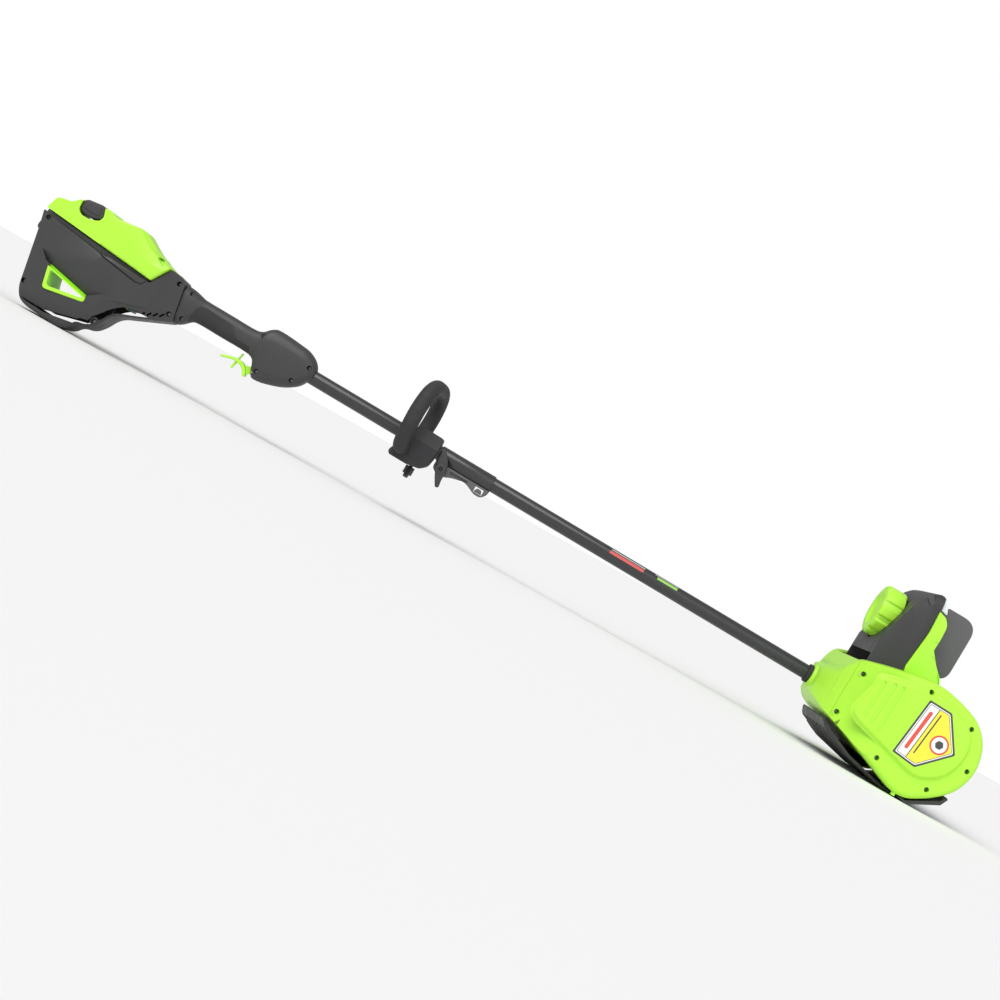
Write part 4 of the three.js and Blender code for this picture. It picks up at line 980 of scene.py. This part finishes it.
def make_hood():
    profile = [
        [-141, 60, 2], [-129, 106, 20], [-109, 181, 14], [-100, 198, 10], [-89, 209, 8], [-77, 214.5, 5],
        [-72, 213, 2], [-70.5, 191, 2], [-74, 186, 3], [-70, 160, 12], [-76, 88, 2], [-76, 60, 1],
    ]
    hollow_profile = [
        [-137, 40], [-125, 106, 20], [-105, 180, 14], [-96.5, 195, 10], [-86, 207, 6], [-30, 207], [-30, 40],
    ]
    chamfer = [
        [[-147, 60, 76], [-134, 106, 76], [-113, 181, 76], [-101, 201, 76], [-92, 209, 76]],
        [[-117, 60, 85.1], [-108, 106, 85.1], [-97, 158, 85.1], [-88.5, 187, 85.1], [-84, 197, 85.1]],
    ]

    def rounded(points, low, width, top, radius):
        across_shape = [[-width, 0], [width, 0], [width, top, radius], [-width, top, radius]]
        above_shape = [[low, -width, 14], [10, -width], [10, width], [low, width, 14]]
        return common(
            side(points, -width, width), end(across_shape, -130, 0, segments=14),
            plan(above_shape, 30, 230, segments=14),
        )

    pivot_z = 147
    outer = rounded(profile, -141, HOOD_HALF, 214.5, 24)
    outer = cut(outer, *slopes(chamfer))
    hollow = rounded(hollow_profile, -137, HOOD_HALF - 4, 207, 20)
    inner_chamfer = [[[x + 2, z, half_width - 4] for x, z, half_width in line] for line in chamfer]
    hollow = cut(hollow, *slopes(inner_chamfer))
    floor_x = KNOB_X + KNOB_DEPTH + 2.5
    cup = common(rod("x", KNOB_R + 7, -142, floor_x + 4, (0, pivot_z), 96), join(copy(outer), copy(hollow)))
    bosses = [rod("x", 6, floor_x + 1, -84, (s * 50, pivot_z), 32) for s in (-1, 1)]
    hood = cut(
        join(cut(outer, hollow), cup, *bosses),
        rod("x", KNOB_R + 3.5, -170, floor_x, (0, pivot_z), 96), rod("x", 4.05, -120, -80, (0, pivot_z), 24),
        *[rod("x", 3.05, -92, -80, (s * 50, pivot_z), 24) for s in (-1, 1)],
    )
    stands_for("chute_hood", at_chute(hood), hood_plastic)
    trim = [
        [-71.6, 188.5, 1], [-58.6, 184.3, 3], [-50, 174, 8], [-48.4, 150, 10], [-49.3, 131, 2], [-34, 113, 2],
        [-17, 96, 2], [-14, 86, 1], [-73, 78, 1], [-75.4, 88, 1], [-69.6, 150, 8],
    ]
    crease = [
        [[-63.5, 140, 88.2], [-57.8, 133, 88.2], [-53.8, 124, 88.2], [-53.9, 78, 88.2]],
        [[-40, 150, 85], [-38, 135, 85], [-34, 118, 85], [-8, 78, 85]],
    ]
    for s, name in ((-1, "right"), (1, "left")):
        low, high = sorted((s * (HOOD_HALF - 4), s * (HOOD_HALF + 3)))
        keep_out = side(inset(profile, -GAP), -HOOD_HALF - 10, HOOD_HALF + 10)
        shape = cut(side(trim, low, high, bevel=1.2), keep_out, *slopes(crease))
        stands_for(f"chute_trim_{name}", at_chute(shape), green)
    glass = [[-71.5, 212.5, 1], [-64.5, 206.5, 3], [-56.8, 188.8, 3], [-70.1, 191.2, 1]]
    stands_for("lamp_lens", at_chute(side(glass, -HOOD_HALF + 6, HOOD_HALF - 6, bevel=2)), lens)


def make_vanes():
    x0, x1, z0, z1, pivot_z, pitch, thick = -78, 0, 97, 203, 147, 50, 3
    plate = [[x0, z0, 8], [x1, z0, 22], [x1, z1, 26], [-54, z1, 3], [-54, 182, 2], [x0, 182, 6]]
    for i, name in enumerate(("vane_right", "vane_centre", "vane_left")):
        y = (i - 1) * pitch
        start, radius = (KNOB_X + 14, 3.9) if i == 1 else (-91, 2.9)
        ear = box(x0 - 2, x0 + 4, y - 4.5, y + 4.5, z0 + 6, z0 + 18)
        vane = join(
            side(plate, y - thick / 2, y + thick / 2, bevel=0.6, segments=10), ear,
            rod("x", 6, x0 - 0.5, x0 + 22, (y, pivot_z), 40, bevel=0.6),
            rod("x", radius, start, x0 + 16, (y, pivot_z), 32),
        )
        stands_for(name, at_chute(cut(vane, rod("x", 2.2, x0 - 3, x0 + 6, (y, z0 + 12), 24))))
    bar_x = x0 - 5
    reach = pitch + 6
    tie = [[-reach, z0 + 8, 3], [reach, z0 + 8, 3], [reach, z0 + 16, 3], [-reach, z0 + 16, 3]]
    bar = end(tie, bar_x, bar_x + 2.6, bevel=0.5)
    pins = [rod("x", 1.9, bar_x + 1, x0 + 3, (i * pitch, z0 + 12), 20) for i in (-1, 0, 1)]
    stands_for("vane_tie_bar", at_chute(join(bar, *pins)))


def make_knob():
    pivot_z, notches, around, notch_depth = 147, 10, 360, 3.2
    pitch, half_notch, ramp = math.tau / notches, math.radians(6.5), math.radians(2.2)

    def dip(angle):
        away = abs(angle % pitch - pitch / 2)
        t = min(1, max(0, (half_notch + ramp - away) / (2 * ramp)))
        return notch_depth * (3 * t**2 - 2 * t**3)

    rings = []
    edge = [(0, 6, 0), (0.5, 4.2, 0.3), (1.6, 2.2, 0.7), (3.4, 0.7, 1), (5.5, 0, 1)]
    back = [(KNOB_DEPTH - 3, 0, 1), (KNOB_DEPTH - 1, 1, 0.8), (KNOB_DEPTH, 3, 0.4)]
    for offset, shrink, share in edge + back:
        turns = [math.tau * (i + 0.5) / around for i in range(around)]
        reach = [KNOB_R - shrink - share * dip(t) for t in turns]
        rings.append([
            (KNOB_X + offset, r * math.cos(t), pivot_z + r * math.sin(t)) for r, t in zip(reach, turns)
        ])
    dish = moved(lathe([[KNOB_X - 2, 31], [KNOB_X + 1, 28], [KNOB_X + 4, 25.5], [KNOB_X + 5, 23]]), z=pivot_z)
    knob = cut(loft(rings), dish, rod("x", 4.2, KNOB_X + 13.7, KNOB_X + 60, (0, pivot_z), 32))
    stands_for("direction_knob", at_chute(knob), green)


def make_rotor():
    middle, half_width = (HEAD_HALF - DRIVE_WALL) / 2, (HEAD_HALF + DRIVE_WALL) / 2 - 12
    hub = ring("y", 17, 7.3, middle - half_width, middle + half_width, sides=64, bevel=1)
    stands_for("rotor_hub", at_head(hub))
    radii, sweep_angles = [17.9, 26, 34, 43, 52, 60, ROTOR_R], [0, 7, 12, 17.5, 22, 26.5, 30]
    for turn, name in ((0, "paddle_1"), (180, "paddle_2")):
        rings = []
        for k in range(41):
            station = -half_width + 2 * half_width * k / 40
            lead = 26 * (1 - abs(station) / half_width)

            def edge(offset):
                found = []
                for r, sweep_angle in zip(radii, sweep_angles):
                    angle = math.radians(turn + lead + sweep_angle) + offset / r
                    found.append((r * math.cos(angle), middle + station, r * math.sin(angle)))
                return found

            rings.append(edge(3) + edge(-3)[::-1])
        stands_for(name, at_head(loft(rings)), rubber)


make_battery()
make_rear_housing()
make_grip()
make_shaft()
make_loop_handle()
make_coupler()
make_side_covers()
make_neck()
make_label()
make_chamber()
make_skid()
make_hood()
make_vanes()
make_knob()
make_rotor()

for node, obj in frame["nodes"].items():
    obj.data.materials.clear()
    obj.data.materials.append(BY_SLOT[slot_of_node[node]])


# ---------------------------------------------------------------- floor, light and camera
SKY_LIGHT = 0.5  # the sky's strength as a light; the camera sees it at full white


def make_stage():
    bm = bmesh.new()
    bmesh.ops.create_grid(bm, x_segments=1, y_segments=1, size=40)
    floor = from_bmesh(bm, "floor")
    look = Shading("floor", (0.9, 0.9, 0.9), 0.9)
    look.bump(look.noise(60, 2), 0.0002, 0.2)
    floor.data.materials.append(look.material)
    world = bpy.data.worlds.new("studio")
    bpy.context.scene.world = world
    world.use_nodes = True
    tree = world.node_tree
    sky = tree.nodes["Background"]
    sky.inputs["Color"].default_value = (1, 1, 1, 1)
    path = tree.nodes.new("ShaderNodeLightPath")
    level = tree.nodes.new("ShaderNodeMapRange")
    level.inputs["To Min"].default_value, level.inputs["To Max"].default_value = SKY_LIGHT, 1.0
    tree.links.new(path.outputs["Is Camera Ray"], level.inputs["Value"])
    tree.links.new(level.outputs["Result"], sky.inputs["Strength"])
    bpy.context.scene.view_settings.view_transform = "Standard"


def make_light(name, towards, strength, softness):
    """A broad sun, so that the floor is lit evenly; the direction is the way its light travels."""
    data = bpy.data.lights.new(name, "SUN")
    data.energy, data.angle = strength, math.radians(softness)
    lamp = bpy.data.objects.new(name, data)
    bpy.context.scene.collection.objects.link(lamp)
    lamp.rotation_euler = Vector(towards).to_track_quat("-Z", "Y").to_euler()


def make_camera():
    """Looks square on at the tool's right side, rolled so that the shaft falls away to the left."""
    roll, distance, height, x = math.radians(30.83), 2897, -14.85, 72.5
    focal_length, sensor_width = 64.52, 36
    turn = Matrix((
        (math.cos(roll), -math.sin(roll), 0), (0, 0, -1), (math.sin(roll), math.cos(roll), 0),
    )).to_4x4()
    data = bpy.data.cameras.new("camera")
    data.lens, data.sensor_width = focal_length, sensor_width
    camera = bpy.data.objects.new("camera", data)
    bpy.context.scene.collection.objects.link(camera)
    camera.matrix_world = TOOL @ Matrix.Translation(Vector((x, -distance, height)) * MM) @ turn
    bpy.context.scene.camera = camera


make_stage()
make_light("key", (0.45, 0.75, -0.9), 2.0, 45)
make_light("fill", (-0.6, 0.8, -0.35), 0.7, 60)
make_camera()
